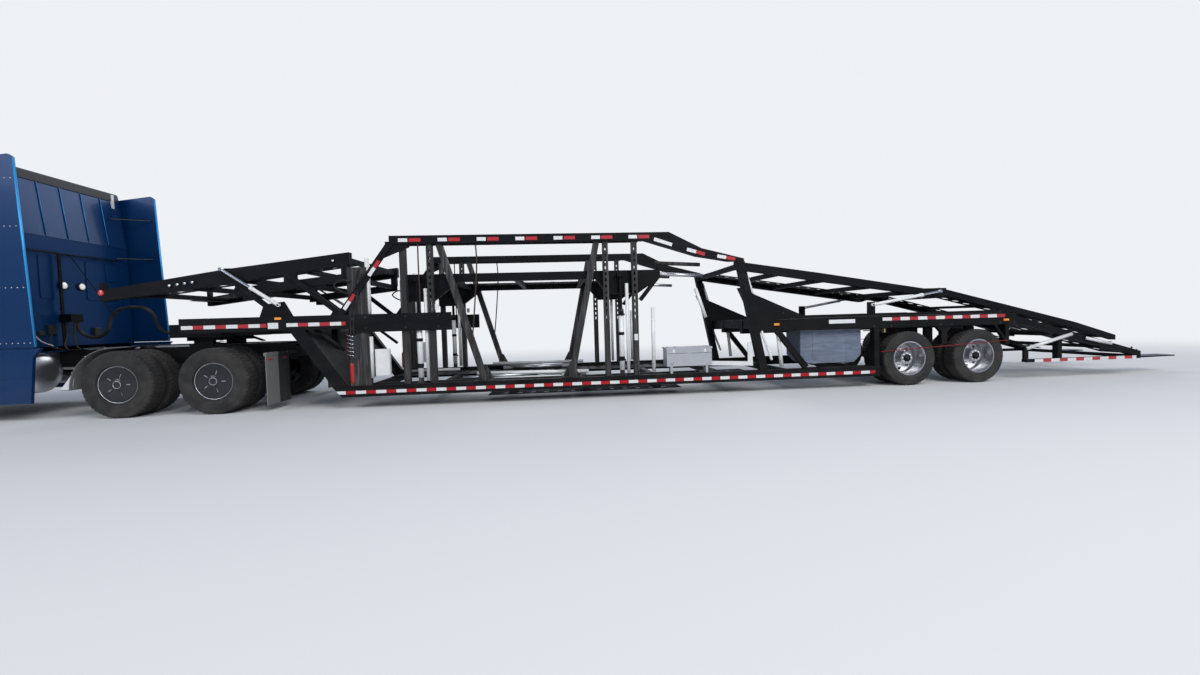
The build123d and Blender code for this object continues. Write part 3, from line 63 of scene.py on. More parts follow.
# Places on the solids, in metres
side_face = 1.275           # outer face of the trailer's side frames
post_face = 1.25            # outer face of the posts between the decks
deck_face = 1.14            # outer face of the decks and of the tail ramp
cab_half = 1.2
cab_rear = -7.45            # sleeper's rear wall, below its crease
cab_lean = 0.125            # how far the wall leans forward from the crease to the roof
crease_z = 2.91
roof_z = 3.95
flap_rear = -3.608          # rear face of the mud flaps
toolbox_face = -1.29

# Wheels: the nut face is the rim's disc and the hub face its hub's end, with none under a cover
Wheel = namedtuple("Wheel", "name x z outer width pitch radius bead nut_face hub_face")
wheels = [
    Wheel("front_wheel", -11.15, 0.51, 1.1725, 0.285, 0, 0.51, 0.292, 1.0845, 1.172),
    Wheel("drive_front", -5.76, 0.51, 1.25, 0.285, 0.34, 0.51, 0.292, None, None),
    Wheel("drive_rear", -4.4, 0.51, 1.25, 0.285, 0.34, 0.51, 0.292, None, None),
    Wheel("trailer_front", 6.85, 0.465, 1.27, 0.255, 0.33, 0.465, 0.288, 1.0015, 1.188),
    Wheel("trailer_rear", 8.12, 0.465, 1.27, 0.255, 0.33, 0.465, 0.288, 1.0015, 1.188),
]

# The air and electric line's route, from the pogo stick to the gooseneck
line_route = [(-7.262, -.15, 1.5), (-7.262, -.15, 1.4), (-7.215, -.135, 1.3), (-7.125, -.112, 1.237),
              (-7.02, -.085, 1.228), (-6.929, -.062, 1.27), (-6.872, -.045, 1.352), (-6.861, -.03, 1.48),
              (-6.826, -.018, 1.605), (-6.738, -.008, 1.695), (-6.612, -.002, 1.732), (-6.455, .002, 1.738),
              (-6.32, .008, 1.716), (-6.226, .016, 1.65), (-6.176, .026, 1.548), (-6.154, .034, 1.428),
              (-6.1, .038, 1.328), (-6.006, .034, 1.268), (-5.888, .022, 1.252), (-5.75, .004, 1.268),
              (-5.6, .004, 1.268)]
line_radius = 0.028

road_dust = (0.16, 0.135, 0.11)
backdrop = (0.86, 0.88, 0.91, 1)
sky_tint = (0.5, 0.62, 0.85, 1)


# What a user may change

def colour_setting(name, description, default):
    return FloatVectorProperty(name=name, description=description, default=default, min=0, max=1,
                               subtype="COLOR")


def length_setting(name, description, default, least, most):
    return FloatProperty(name=name, description=description, default=default, min=least, max=most,
                         unit="LENGTH")


def power_setting(name, description, default):
    return FloatProperty(name=name, description=description, default=default, min=0, unit="POWER")


def angle_setting(name, description, default):
    return FloatProperty(name=name, description=description, default=math.radians(default), subtype="ANGLE")


class TransporterPaint(bpy.types.PropertyGroup):
    """Colours of the paint, and how dusty the road has left it"""
    blue: colour_setting("Blue", "Metallic paint of the tractor", (0.001, 0.026, 0.088))
    steel: colour_setting("Steel", "Satin paint of frames and decks", (0.0022, 0.0022, 0.003))
    posts: colour_setting("Posts", "Worn paint of the posts between the decks", (0.03, 0.028, 0.027))
    dust: FloatProperty(name="Road dust", description="How much of the paint low down is dusty", default=0.14,
                        min=0, max=1, subtype="FACTOR")


class TransporterTyres(bpy.types.PropertyGroup):
    """Tread of every tyre"""
    grooves: IntProperty(name="Grooves", description="Grooves round the tread", default=4, min=2, max=6)
    depth: length_setting("Tread depth", "Depth of the grooves", 0.012, 0.002, 0.02)
    blocks: IntProperty(name="Blocks", description="Shoulder blocks round one tyre", default=48, min=24,
                        max=80)


class TransporterTape(bpy.types.PropertyGroup):
    """Red and white reflective tape"""
    width: length_setting("Width", "Width of the tape", 0.055, 0.02, 0.1)
    thickness: length_setting("Thickness", "How far the tape stands proud", 0.0015, 0.0005, 0.004)


class TransporterFasteners(bpy.types.PropertyGroup):
    """Wheel nuts and bolt heads"""
    nut: length_setting("Wheel nut", "Radius of a wheel nut", 0.018, 0.01, 0.03)
    bolt: length_setting("Bolt head", "Radius of a bolt head", 0.013, 0.006, 0.02)


class TransporterHoses(bpy.types.PropertyGroup):
    """Hydraulic and air hoses clipped to the steelwork"""
    radius: length_setting("Radius", "Radius of a clipped hose", 0.011, 0.004, 0.03)


class TransporterStudio(bpy.types.PropertyGroup):
    """Light and camera"""
    key: power_setting("Key lamp", "Power of the main lamp", 3000)
    fill: power_setting("Fill lamp", "Power of the lamp ahead of the truck", 1400)
    back: power_setting("Back lamp", "Power of the lamp beyond the truck", 1200)
    sky: FloatProperty(name="Sky", description="Strength of the light from all round", default=0.5,
                       min=0, max=2)
    place: FloatVectorProperty(name="Camera place", description="Where the camera stands",
                               default=(0.92, -8.849, 1.276), subtype="XYZ", unit="LENGTH")
    yaw: angle_setting("Yaw", "Camera turned to the rear of the truck", 4.637)
    pitch: angle_setting("Pitch", "Camera tipped down", 2.137)
    roll: angle_setting("Roll", "Camera rolled", -1.663)
    lens: FloatProperty(name="Lens", description="Focal length for a 36 mm sensor", default=14.13, min=5,
                        max=200, unit="CAMERA")


# Shapes as arrays: each is its points and the list of its faces

def lattice(points, wrap_rows=False, wrap_columns=False):
    """Quads over a grid of points: (i, j), (i+1, j), (i+1, j+1), (i, j+1), joined round where it wraps."""
    rows, columns = points.shape[:2]
    starts = np.arange(rows - (not wrap_rows)), np.arange(columns - (not wrap_columns))
    i, j = np.meshgrid(*starts, indexing="ij")
    k, m = (i + 1) % rows, (j + 1) % columns
    quads = np.stack([i * columns + j, k * columns + j, k * columns + m, i * columns + m], -1)
    return points.reshape(-1, 3), quads.reshape(-1, 4).tolist()


def outward(shape):
    """The shape with its faces turned out: if the sum of base point . normal is negative, all faces flip."""
    points, faces = shape
    total = 0.0
    for size in {len(f) for f in faces}:
        picked = np.array([f for f in faces if len(f) == size])
        a = points[picked[:, 0]]
        for k in range(1, size - 1):
            b, c = points[picked[:, k]], points[picked[:, k + 1]]
            total += float(np.einsum("ij,ij->", a, np.cross(b, c)))
    return (points, [f[::-1] for f in faces]) if total < 0 else shape


def joined(shapes):
    """Several shapes as one, each list of faces moved on by the points before it."""
    points, faces, start = [], [], 0
    for p, f in shapes:
        points.append(p)
        faces += [[v + start for v in face] for face in f]
        start += len(p)
    return np.concatenate(points), faces


def mirrored(shape):
    """The mirror image across the middle of the truck: (x, -y, z), with every face flipped."""
    points, faces = shape
    return points * (1, -1, 1), [face[::-1] for face in faces]


def both_sides(shape):
    """The shape and its mirror image as one."""
    return joined([mirrored(shape), shape])


def stamped(shape, places):
    """The shape repeated at each place: its points plus each offset in turn."""
    points, faces = shape
    places = np.asarray(places, float)
    every = (places[:, None, :] + points[None]).reshape(-1, 3)
    count = len(points)
    return every, [[v + count * n for v in face] for n in range(len(places)) for face in faces]


def slabs(rows):
    """Boxes from rows of (x0, x1, y0, y1, z0, z1): the corners are every choice of one x, y and z."""
    rows = np.sort(np.asarray(rows, float).reshape(-1, 3, 2), axis=2)
    pick = np.array([[i, j, k] for i in (0, 1) for j in (0, 1) for k in (0, 1)])
    corners = np.stack([rows[:, axis][:, pick[:, axis]] for axis in range(3)], -1)
    box = [[0, 1, 3, 2], [4, 6, 7, 5], [0, 4, 5, 1], [2, 3, 7, 6], [0, 2, 6, 4], [1, 5, 7, 3]]
    return corners.reshape(-1, 3), [[v + 8 * n for v in face] for n in range(len(rows)) for face in box]


def cut_plate(outline, y0, y1):
    """An outline of (x, z) points given a thickness from y0 to y1: two faces and a band between them."""
    outline = np.asarray(outline, float)
    n = len(outline)
    rings = np.stack([np.stack([outline[:, 0], np.full(n, y), outline[:, 1]], -1) for y in (y0, y1)])
    points, faces = lattice(rings, wrap_columns=True)
    return outward((points, faces + [list(range(n)), list(range(2 * n - 1, n - 1, -1))]))


def ring_round(axis, angle):
    """Points of a unit circle square to an axis: (cos a, sin a) on the two axes after it."""
    along = np.zeros(3)
    along[axis] = 1
    return along, np.cos(angle)[:, None] * np.roll(along, 1) + np.sin(angle)[:, None] * np.roll(along, 2)


def turned(profile, centre, axis, steps=48):
    """A closed profile of (along, radius) carried round an axis: radius x (cos a, sin a) at each along."""
    profile = np.asarray(profile, float)
    along, ring = ring_round(axis, np.linspace(0, 2 * np.pi, steps, endpoint=False))
    points = np.asarray(centre) + profile[None, :, :1] * along + profile[None, :, 1:] * ring[:, None]
    return outward(lattice(points, wrap_rows=True, wrap_columns=True))


def round_places(centre, axis, radius, count):
    """Places evenly round an axis: centre + radius x (cos a, sin a)."""
    ring = ring_round(axis, np.linspace(0, 2 * np.pi, count, endpoint=False))[1]
    return np.asarray(centre) + radius * ring


def tube(path, radius, sides=10):
    """A circle carried along a path, square to it: path + radius x (cos a N + sin a B), ends closed."""
    path = np.asarray(path, float)
    tangent = np.gradient(path, axis=0)
    tangent /= np.linalg.norm(tangent, axis=1)[:, None]
    least = np.eye(3)[np.argmin(np.abs(tangent).max(0))]
    normal = np.cross(tangent, least)
    normal /= np.linalg.norm(normal, axis=1)[:, None]
    binormal = np.cross(tangent, normal)
    angle = np.linspace(0, 2 * np.pi, sides, endpoint=False)
    radius = np.broadcast_to(radius, len(path))[:, None, None]
    cosine, sine = np.cos(angle)[None, :, None], np.sin(angle)[None, :, None]
    ring = cosine * normal[:, None] + sine * binormal[:, None]
    points, faces = lattice(path[:, None] + radius * ring, wrap_columns=True)
    last = len(path) * sides
    return outward((points, faces + [list(range(sides)), list(range(last - 1, last - sides - 1, -1))]))


def strips(start, end, y0, y1, width, parts):
    """Thin plates along the line between two (x, z) points, each from start + a run to start + b run."""
    start, end = np.asarray(start, float), np.asarray(end, float)
    run = end - start
    across = np.array((-run[1], run[0])) / np.hypot(*run) * width / 2
    stops = start + np.asarray(parts, float)[..., None] * run
    corners = [stops[:, 0] - across, stops[:, 1] - across, stops[:, 1] + across, stops[:, 0] + across]
    return joined([cut_plate(outline, y0, y1) for outline in np.stack(corners, 1)])


def dome(place, axis, radius, height, steps=24, rings=6):
    """A shallow cap: radius x cos t and height x sin t for t from 0 to a right angle, closed by its base."""
    t = np.linspace(0, np.pi / 2, rings)
    profile = np.column_stack([height * np.sin(t), radius * np.cos(t)])
    return turned(np.vstack([[(0, 0)], profile]), place, axis, steps)


def heads(places, axis, radius, height):
    """Hexagon heads or nuts with a washer, one at each place, standing along the axis."""
    head = turned([(0, 0), (0, radius * 1.5), (height * 0.2, radius * 1.5), (height * 0.2, radius),
                   (height, radius * 0.94), (height, 0)], (0, 0, 0), axis, 6)
    return stamped(head, places)


def smooth_path(points, steps=8):
    """A Catmull-Rom curve through the points: cubics whose tangent at a point is (next - last) / 2."""
    points = np.asarray(points, float)
    padded = np.vstack([2 * points[0] - points[1], points, 2 * points[-1] - points[-2]])
    t = np.linspace(0, 1, steps, endpoint=False)[None, :, None]
    a, b, c, d = (padded[k:len(points) - 1 + k, None] for k in range(4))
    square, cube = 2 * a - 5 * b + 4 * c - d, 3 * b - 3 * c + d - a
    run = 0.5 * (2 * b + (c - a) * t + square * t ** 2 + cube * t ** 3)
    return np.vstack([run.reshape(-1, 3), points[-1:]])


# A tyre's section: across as shares of its width, and out as shares of the way from bead to tread
sidewall = [(-.40, 0), (-.47, .03), (-.455, .1), (-.485, .22), (-.5, .45), (-.492, .62), (-.475, .64),
            (-.47, .78), (-.45, .9), (-.425, .965), (-.39, .99), (-.37, 1)]
groove_reach = 0.24         # the outer grooves' distance from the middle
groove_lip = 0.032          # half widths of a groove at the tread and at its bottom
groove_bed = 0.022
tread_edge = 0.34
shoulder_out = 0.93
rib_cut = 0.35              # cuts across the ribs, as a share of the tread depth
zigzag = 0.004              # how far the grooves swing, in metres


def tyre_shape(wheel, middle, tyres):
    """A tyre as a grid of angle by section, its grooves and shoulder blocks pressed in by the tread depth."""
    crown = [(at + off, 1, pressed) for at in np.linspace(-groove_reach, groove_reach, tyres.grooves)
             for off, pressed in ((-groove_lip, 0), (-groove_bed, 1), (groove_bed, 1), (groove_lip, 0))]
    near, far = [(a, b, 0) for a, b in sidewall], [(-a, b, 0) for a, b in sidewall[::-1]]
    across, out, groove = np.array(near + crown + far).T
    steps = tyres.blocks * 4
    angle = np.linspace(0, 2 * np.pi, steps, endpoint=False)[:, None]
    phase = (np.arange(steps) % 4)[:, None]
    shoulder = (np.abs(across) > tread_edge) & (out > shoulder_out)
    ribs = (np.abs(across) < tread_edge) & (groove == 0)
    pressed = groove + shoulder * (phase == 0) + rib_cut * ribs * (phase == 2)
    y = middle + wheel.width * across + zigzag * np.sign(phase - 1.5) * (groove > 0)
    r = wheel.bead + (wheel.radius - wheel.bead) * out - tyres.depth * pressed
    points = np.stack([wheel.x + r * np.cos(angle), np.broadcast_to(y, r.shape),
                       wheel.z + r * np.sin(angle)], -1)
    return outward(lattice(points, wrap_rows=True, wrap_columns=True))


def whole(shape):
    """A list of shapes as one shape, and one shape as it is."""
    return joined(shape) if isinstance(shape, list) else shape


def linked(name, data):
    """An object of the data, in the scene."""
    thing = bpy.data.objects.new(name, data)
    bpy.context.scene.collection.objects.link(thing)
    return thing


def piece(name, shape, finish, body, smooth=False, bevel=0.0):
    """An object from a shape or a list of shapes, with its finish, on its body."""
    points, faces = whole(shape)
    mesh = bpy.data.meshes.new(name)
    mesh.from_pydata(points.tolist(), [], faces)
    mesh.polygons.foreach_set("use_smooth", np.full(len(faces), smooth))
    mesh.materials.append(finishes[finish])
    thing = linked(name, mesh)
    if bevel:
        edge = thing.modifiers.new("edge", "BEVEL")
        edge.width = bevel
        edge.segments = 2
        edge.limit_method = "ANGLE"
    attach(thing, body)
    return thing


def pair(name, shape, finish, body, **edges):
    """One piece of a shape on the right, y positive, and its mirror image on the left."""
    piece(name, both_sides(whole(shape)), finish, body, **edges)


def one_a_side(name, shape, finish, body, **edges):
    """A piece on each side from a shape on the right; the side takes the place of {} in name and body."""
    piece(name.format("left"), mirrored(whole(shape)), finish, body.format("left"), **edges)
    piece(name.format("right"), shape, finish, body.format("right"), **edges)


# Finishes

def feed(tree, socket, value):
    """Link the socket to another one, or give it a value; a colour of three numbers is opaque."""
    if isinstance(value, bpy.types.NodeSocket):
        tree.links.new(value, socket)
    elif socket.type == "RGBA" and len(value) == 3:
        socket.default_value = (*value, 1)
    else:
        socket.default_value = value


def add_node(tree, kind, inputs=(), **settings):
    """A node with its settings, and with its inputs fed by name or number."""
    made = tree.nodes.new(kind)
    for key, value in settings.items():
        setattr(made, key, value)
    for key, value in dict(inputs).items():
        feed(tree, made.inputs[key], value)
    return made


class Finish:
    """A material under construction: its methods add nodes, and what one works out is a socket."""

    def __init__(self, name):
        self.material = bpy.data.materials.new(name)
        self.material.use_nodes = True
        self.tree = self.material.node_tree
        self.shader = self.tree.nodes["Principled BSDF"]
        self.place = self.node("ShaderNodeTexCoord").outputs["Object"]

    def node(self, kind, inputs=(), **settings):
        return add_node(self.tree, kind, inputs, **settings)

    def noise(self, scale, detail, stretch=(1, 1, 1), distortion=0.0):
        """Cloudy variation, finer with a larger scale and drawn out where stretch is small."""
        moved = self.node("ShaderNodeMapping", {"Vector": self.place, "Scale": stretch}).outputs[0]
        return self.node("ShaderNodeTexNoise", {"Vector": moved, "Scale": scale, "Detail": detail,
                                                "Distortion": distortion}).outputs["Fac"]

    def ramp(self, value, low, high):
        """The value stretched so that low becomes 0 and high becomes 1, kept between them."""
        return self.node("ShaderNodeMapRange", {"Value": value, "From Min": low, "From Max": high}).outputs[0]

    def between(self, value, low, high):
        """The value's 0 to 1 made low to high."""
        return self.node("ShaderNodeMapRange", {"Value": value, "To Min": low, "To Max": high}).outputs[0]

    def math(self, kind, a, b=0.0):
        return self.node("ShaderNodeMath", {0: a, 1: b}, operation=kind).outputs[0]

    def product(self, *values):
        """All the values multiplied together."""
        whole = values[0]
        for value in values[1:]:
            whole = self.math("MULTIPLY", whole, value)
        return whole

    def mix(self, share, a, b, blend="MIX"):
        """Colour a where share is 0 and b where it is 1, or a blended with b by that share."""
        made = self.node("ShaderNodeMix", {0: share, 6: a, 7: b}, data_type="RGBA", blend_type=blend)
        return made.outputs[2]

    def axis(self, name):
        """One of X, Y and Z of the place in metres; Z is the height above the ground."""
        return self.node("ShaderNodeSeparateXYZ", {0: self.place}).outputs[name]

    def upward(self):
        """1 on faces that look up, 0 on walls and undersides."""
        normal = self.node("ShaderNodeNewGeometry").outputs["Normal"]
        return self.ramp(self.node("ShaderNodeSeparateXYZ", {0: normal}).outputs["Z"], 0.2, 0.95)

    def bump(self, height, strength, distance):
        made = self.node("ShaderNodeBump", {"Height": height, "Strength": strength, "Distance": distance})
        self.set(Normal=made.outputs[0])

    def set(self, **values):
        """Sockets of the shader, by name with underscores for blanks."""
        for key, value in values.items():
            feed(self.tree, self.shader.inputs[key.replace("_", " ")], value)


def times(colour, factor, lift=0.0):
    """The colour multiplied by a factor, then raised."""
    return tuple(c * factor + lift for c in colour)


def dustiness(f, amount, low, high):
    """How dusty a place is: most below the height low and on faces that look up, broken up by noise."""
    patches = f.ramp(f.noise(3.5, 8), 0.35, 0.75)
    lower = f.math("MULTIPLY", f.ramp(f.axis("Z"), high, low), 0.5)
    cover = f.math("ADD", lower, f.math("MULTIPLY", f.upward(), 0.6))
    return f.product(patches, cover, amount)


def dusted(f, colour, amount, low=0.3, high=1.6):
    """The colour under road dust."""
    return f.mix(dustiness(f, amount, low, high), colour, road_dust)


def blue_paint(name, colour, dust):
    """Deep metallic blue with flake, orange peel and a clear coat, dusty towards the skirt."""
    f = Finish(name)
    flakes = f.mix(f.ramp(f.noise(900, 1), 0.35, 0.7), colour, times(colour, 1.8))
    clouds = f.mix(f.ramp(f.noise(0.8, 3), 0.3, 0.8), (0.85, 0.87, 0.95), (1.0, 1.0, 1.0))
    share = dustiness(f, dust, 0.2, 1.5)
    f.set(Base_Color=f.mix(share, f.mix(1.0, flakes, clouds, "MULTIPLY"), road_dust))
    f.set(Metallic=0.3, Roughness=f.ramp(share, -0.5, 1.0), Specular_IOR_Level=0.3)
    f.set(Coat_Weight=0.12, Coat_Roughness=0.08)
    f.bump(f.noise(260, 2), 0.05, 0.0006)
    return f.material


def scuffed(f, colour, dust, wear=3.0, along=(0.25, 1, 1.6), least=0.5):
    """The colour with scuffs of wear times its brightness, drawn out where along is small, under dust."""
    scuff = f.ramp(f.noise(6, 9, along, 0.6), least, 0.72)
    return dusted(f, f.mix(scuff, colour, times(colour, wear)), dust)


def satin(f, colour):
    """The sheen and fine texture of chassis paint."""
    f.set(Base_Color=colour, Roughness=f.ramp(f.noise(14, 6), -0.9, 1.6), Specular_IOR_Level=0.16)
    f.bump(f.noise(420, 3), 0.18, 0.0012)
    return f.material


def satin_black(name, colour, dust, *scuffs):
    """Satin black chassis paint with scuffs and dust."""
    f = Finish(name)
    return satin(f, scuffed(f, colour, dust, *scuffs))


def metal(name, colour, roughness, grain=(1, 1, 1)):
    """Bare or polished metal with a drawn grain and a trace of dust."""
    f = Finish(name)
    lines = f.noise(120, 5, grain)
    shade = f.mix(f.ramp(lines, 0.3, 0.7), times(colour, 0.82), colour)
    f.set(Base_Color=dusted(f, shade, 0.15), Metallic=1.0)
    f.set(Roughness=f.between(lines, roughness * 0.7, roughness * 1.4))
    f.bump(lines, 0.08, 0.0006)
    return f.material


def enamel(name, colour, roughness=0.35, dust=0.25):
    """Plain gloss or semi-gloss paint with slight unevenness, chips and dust."""
    f = Finish(name)
    chips = f.ramp(f.noise(38, 9), 0.69, 0.73)
    f.set(Base_Color=dusted(f, f.mix(chips, colour, times(colour, 0.45, 0.03)), dust), Coat_Weight=0.2)
    f.set(Roughness=f.between(f.noise(9, 5), roughness * 0.8, roughness * 1.3))
    f.bump(f.noise(300, 2), 0.06, 0.0006)
    return f.material


def rubber(name, colour, dust, fine=700):
    """Black rubber, grey with road dust in patches."""
    f = Finish(name)
    worn = f.mix(f.ramp(f.noise(7, 7), 0.4, 0.8), colour, (0.034, 0.033, 0.031))
    f.set(Base_Color=dusted(f, worn, dust, 0.0, 1.4), Roughness=0.78, Specular_IOR_Level=0.3)
    f.bump(f.noise(fine, 3), 0.25, 0.0012)
    return f.material


def plastic(name, colour, roughness=0.55):
    """Moulded plastic with a fine leather grain."""
    f = Finish(name)
    f.set(Base_Color=f.mix(f.ramp(f.noise(5, 5), 0.3, 0.8), colour, times(colour, 1.3)), Roughness=roughness)
    f.bump(f.noise(500, 4), 0.2, 0.0008)
    return f.material


def clear_glass(name, colour, alpha):
    """Tinted glass that shows what is behind it, faintly dusty."""
    f = Finish(name)
    f.set(Base_Color=f.mix(f.ramp(f.noise(4, 6), 0.4, 0.9), colour, times(colour, 1.6)), Alpha=alpha)
    f.set(Roughness=0.04, Specular_IOR_Level=0.8, Coat_Weight=1.0, Coat_Roughness=0.02)
    return f.material


def lens(name, colour, glow=0.15):
    """A lamp lens with a ribbed inner face."""
    f = Finish(name)
    ribs = f.node("ShaderNodeTexWave", {"Vector": f.place, "Scale": 60.0}, bands_direction="Z").outputs["Fac"]
    f.set(Base_Color=f.mix(ribs, colour, times(colour, 0.6)), Roughness=0.12, Coat_Weight=1.0)
    f.set(Emission_Color=colour, Emission_Strength=glow)
    f.bump(ribs, 0.3, 0.002)
    return f.material


# The tape along the lower frame: where its beat starts, the beat's length, its band of heights and its end
tape_start = -3.205
tape_beat = 0.305
tape_low, tape_high = 0.237, 0.287
tape_out = 1.2945           # just inside the frame's outermost faces
tape_end = 6.2


def striped_black(name, colour, dust):
    """Satin black with a line of tape on its outermost faces: white, gap, red along x in one band of z."""
    f = Finish(name)
    x, z = f.axis("X"), f.axis("Z")
    beat = f.math("FRACT", f.math("MULTIPLY", f.math("ADD", x, -tape_start), 1 / tape_beat))
    white = f.math("LESS_THAN", beat, 0.51)
    red = f.product(f.math("GREATER_THAN", beat, 0.53), f.math("LESS_THAN", beat, 0.98))
    band = f.product(f.math("GREATER_THAN", z, tape_low), f.math("LESS_THAN", z, tape_high))
    outer = f.math("GREATER_THAN", f.math("ABSOLUTE", f.axis("Y")), tape_out)
    zone = f.product(band, outer, f.math("LESS_THAN", x, tape_end))
    body = f.mix(f.product(zone, white), scuffed(f, colour, dust, least=0.56), (0.7, 0.7, 0.68))
    return satin(f, f.mix(f.product(zone, red), body, (0.42, 0.012, 0.018)))


def flap_rubber(name):
    """Mud flap rubber: a grey outer panel beside a black inner one, which ends at 0.94 m from the middle."""
    f = Finish(name)
    inner = f.math("LESS_THAN", f.math("ABSOLUTE", f.axis("Y")), 0.94)
    panels = f.mix(inner, (0.16, 0.16, 0.155), (0.012, 0.012, 0.012))
    f.set(Base_Color=dusted(f, panels, 0.5, 0.0, 1.2), Roughness=0.7)
    f.bump(f.noise(200, 3), 0.25, 0.0012)
    return f.material


def box_pair(name, alloy, slate):
    """Bright sheet for the toolbox and streaked blue-grey sheet for the tank, which starts behind x = 4.5."""
    f = Finish(name)
    tank = f.math("GREATER_THAN", f.axis("X"), 4.5)
    grain = f.noise(120, 5, (0.05, 1, 1))
    streak = f.ramp(f.noise(5, 6, (0.5, 1, 2.2), 1.2), 0.35, 0.7)
    bright = f.mix(f.ramp(grain, 0.3, 0.7), times(alloy, 0.82), alloy)
    dull = f.mix(streak, slate, times(slate, 1.7))
    f.set(Base_Color=dusted(f, f.mix(tank, bright, dull), 0.3))
    f.set(Metallic=f.between(tank, 0.9, 0.2), Roughness=f.between(tank, 0.34, 0.6))
    f.bump(grain, 0.1, 0.0008)
    return f.material


def reflective(name, colour):
    """Retroreflective tape: a fine lattice of cells under a clear film."""
    f = Finish(name)
    cells = f.node("ShaderNodeTexVoronoi", {"Vector": f.place, "Scale": 260.0}).outputs["Distance"]
    shade = f.mix(f.ramp(cells, 0.1, 0.6), times(colour, 1.15), times(colour, 0.8))
    f.set(Base_Color=dusted(f, shade, 0.35), Roughness=0.35, Coat_Weight=0.6, Coat_Roughness=0.15)
    return f.material


def floor_finish():
    """Pale ground that keeps the truck's shadow and fades into the backdrop further off, for the camera only.

    The fade is a smooth step from 4 m to 15 m, over distances whose x counts for 0.55 of its length.
    """
    f = Finish("floor")
    f.set(Base_Color=(0.66, 0.65, 0.64), Roughness=0.9)
    squeezed = f.node("ShaderNodeVectorMath", {0: f.place, 1: (0.55, 1, 1)}, operation="MULTIPLY").outputs[0]
    away = f.node("ShaderNodeVectorMath", {0: squeezed}, operation="LENGTH").outputs["Value"]
    fade = f.node("ShaderNodeMapRange", {"Value": away, "From Min": 4, "From Max": 15},
                  interpolation_type="SMOOTHSTEP").outputs[0]
    share = f.product(fade, f.node("ShaderNodeLightPath").outputs["Is Camera Ray"])
    glow = f.node("ShaderNodeEmission", {"Color": backdrop}).outputs[0]
    blend = f.node("ShaderNodeMixShader", {0: share, 1: f.shader.outputs[0], 2: glow}).outputs[0]
    feed(f.tree, f.tree.nodes["Material Output"].inputs["Surface"], blend)
    return f.material


finishes = {}


def make_finishes(paint):
    """Every finish by name, from rows of maker, name and what the maker takes."""
    blue, steel, posts, dust = tuple(paint.blue), tuple(paint.steel), tuple(paint.posts), paint.dust
    rows = [
        (blue_paint, "cab_blue", blue, dust),
        (blue_paint, "bumper_blue", blue, dust * 2),
        # A light blue that paints the highlight on the extenders' rolled edges and on the crowns of the
        # wall's ribs.
        (blue_paint, "edge_blue", (0.03, 0.27, 0.55), dust),
        (satin_black, "frame_black", steel, dust),
        (satin_black, "deck_steel", steel, dust * 2),
        (striped_black, "chassis_black", steel, dust),
        (satin_black, "post_grey", posts, dust, 3.5, (4, 2, 0.2)),
        (enamel, "barrel_white", (0.74, 0.74, 0.72), 0.3),
        (enamel, "plate_white", (0.7, 0.71, 0.7)),
        (enamel, "signal_red", (0.42, 0.012, 0.01), 0.3),
        (rubber, "strap_red", (0.3, 0.015, 0.015), 0.2, 90),
        (metal, "chrome_rod", (0.82, 0.82, 0.84), 0.08),
        (metal, "mirror_glass", (0.86, 0.88, 0.9), 0.02),
        (rubber, "tyre_black", (0.02, 0.0195, 0.019), 0.45),
        (enamel, "rim_black", (0.006, 0.006, 0.008), 0.3, 0.15),
        (metal, "rim_alloy", (0.6, 0.6, 0.62), 0.3),
        (satin_black, "axle_iron", (0.02, 0.019, 0.018), 0.6),
        (clear_glass, "glass_clear", (0.10, 0.13, 0.14), 0.45),
        (plastic, "interior_grey", (0.09, 0.09, 0.095)),
        (plastic, "grille_black", (0.015, 0.015, 0.016), 0.4),
        (clear_glass, "lamp_clear", (0.7, 0.72, 0.74), 0.5),
        (metal, "tank_alloy", (0.74, 0.74, 0.75), 0.34),
        (flap_rubber, "flap_grey"),
        (box_pair, "box_sheet", (0.66, 0.67, 0.68), (0.115, 0.14, 0.185)),
        (metal, "box_alloy", (0.62, 0.63, 0.64), 0.35, (0.05, 1, 1)),
        (lens, "lamp_amber", (0.95, 0.33, 0.02)),
        (lens, "lamp_red", (0.6, 0.01, 0.01)),
        (lens, "lamp_white", (0.85, 0.86, 0.84), 0.4),
        (rubber, "hose_black", (0.012, 0.012, 0.012), 0.3, 160),
        (rubber, "hose_brown", (0.05, 0.028, 0.015), 0.3),
        (plastic, "hose_white", (0.62, 0.62, 0.6)),
        (reflective, "tape_red", (0.47, 0.012, 0.018)),
        (reflective, "tape_white", (0.82, 0.82, 0.8)),
        (metal, "brass", (0.6, 0.42, 0.16), 0.3),
    ]
    for maker, name, *looks in rows:
        finishes[name] = maker(name, *looks)


# Operators, one for each piece or group of like pieces

class TRANSPORTER_OT_paint(bpy.types.Operator):
    """Give every solid of the truck its finish"""
    bl_idname = "transporter.paint"
    bl_label = "Paint"

    def execute(self, context):
        make_finishes(context.scene.transporter_paint)
        slots = {part["node"]: part["material_slot"] for part in frame["record"]["subparts"]}
        slots.update(uprights="post_grey", trailer_chassis="chassis_black", side_boxes="box_sheet")
        for name, node in frame["nodes"].items():
            node.data.materials.clear()
            node.data.materials.append(finishes[slots[name]])
        return {"FINISHED"}


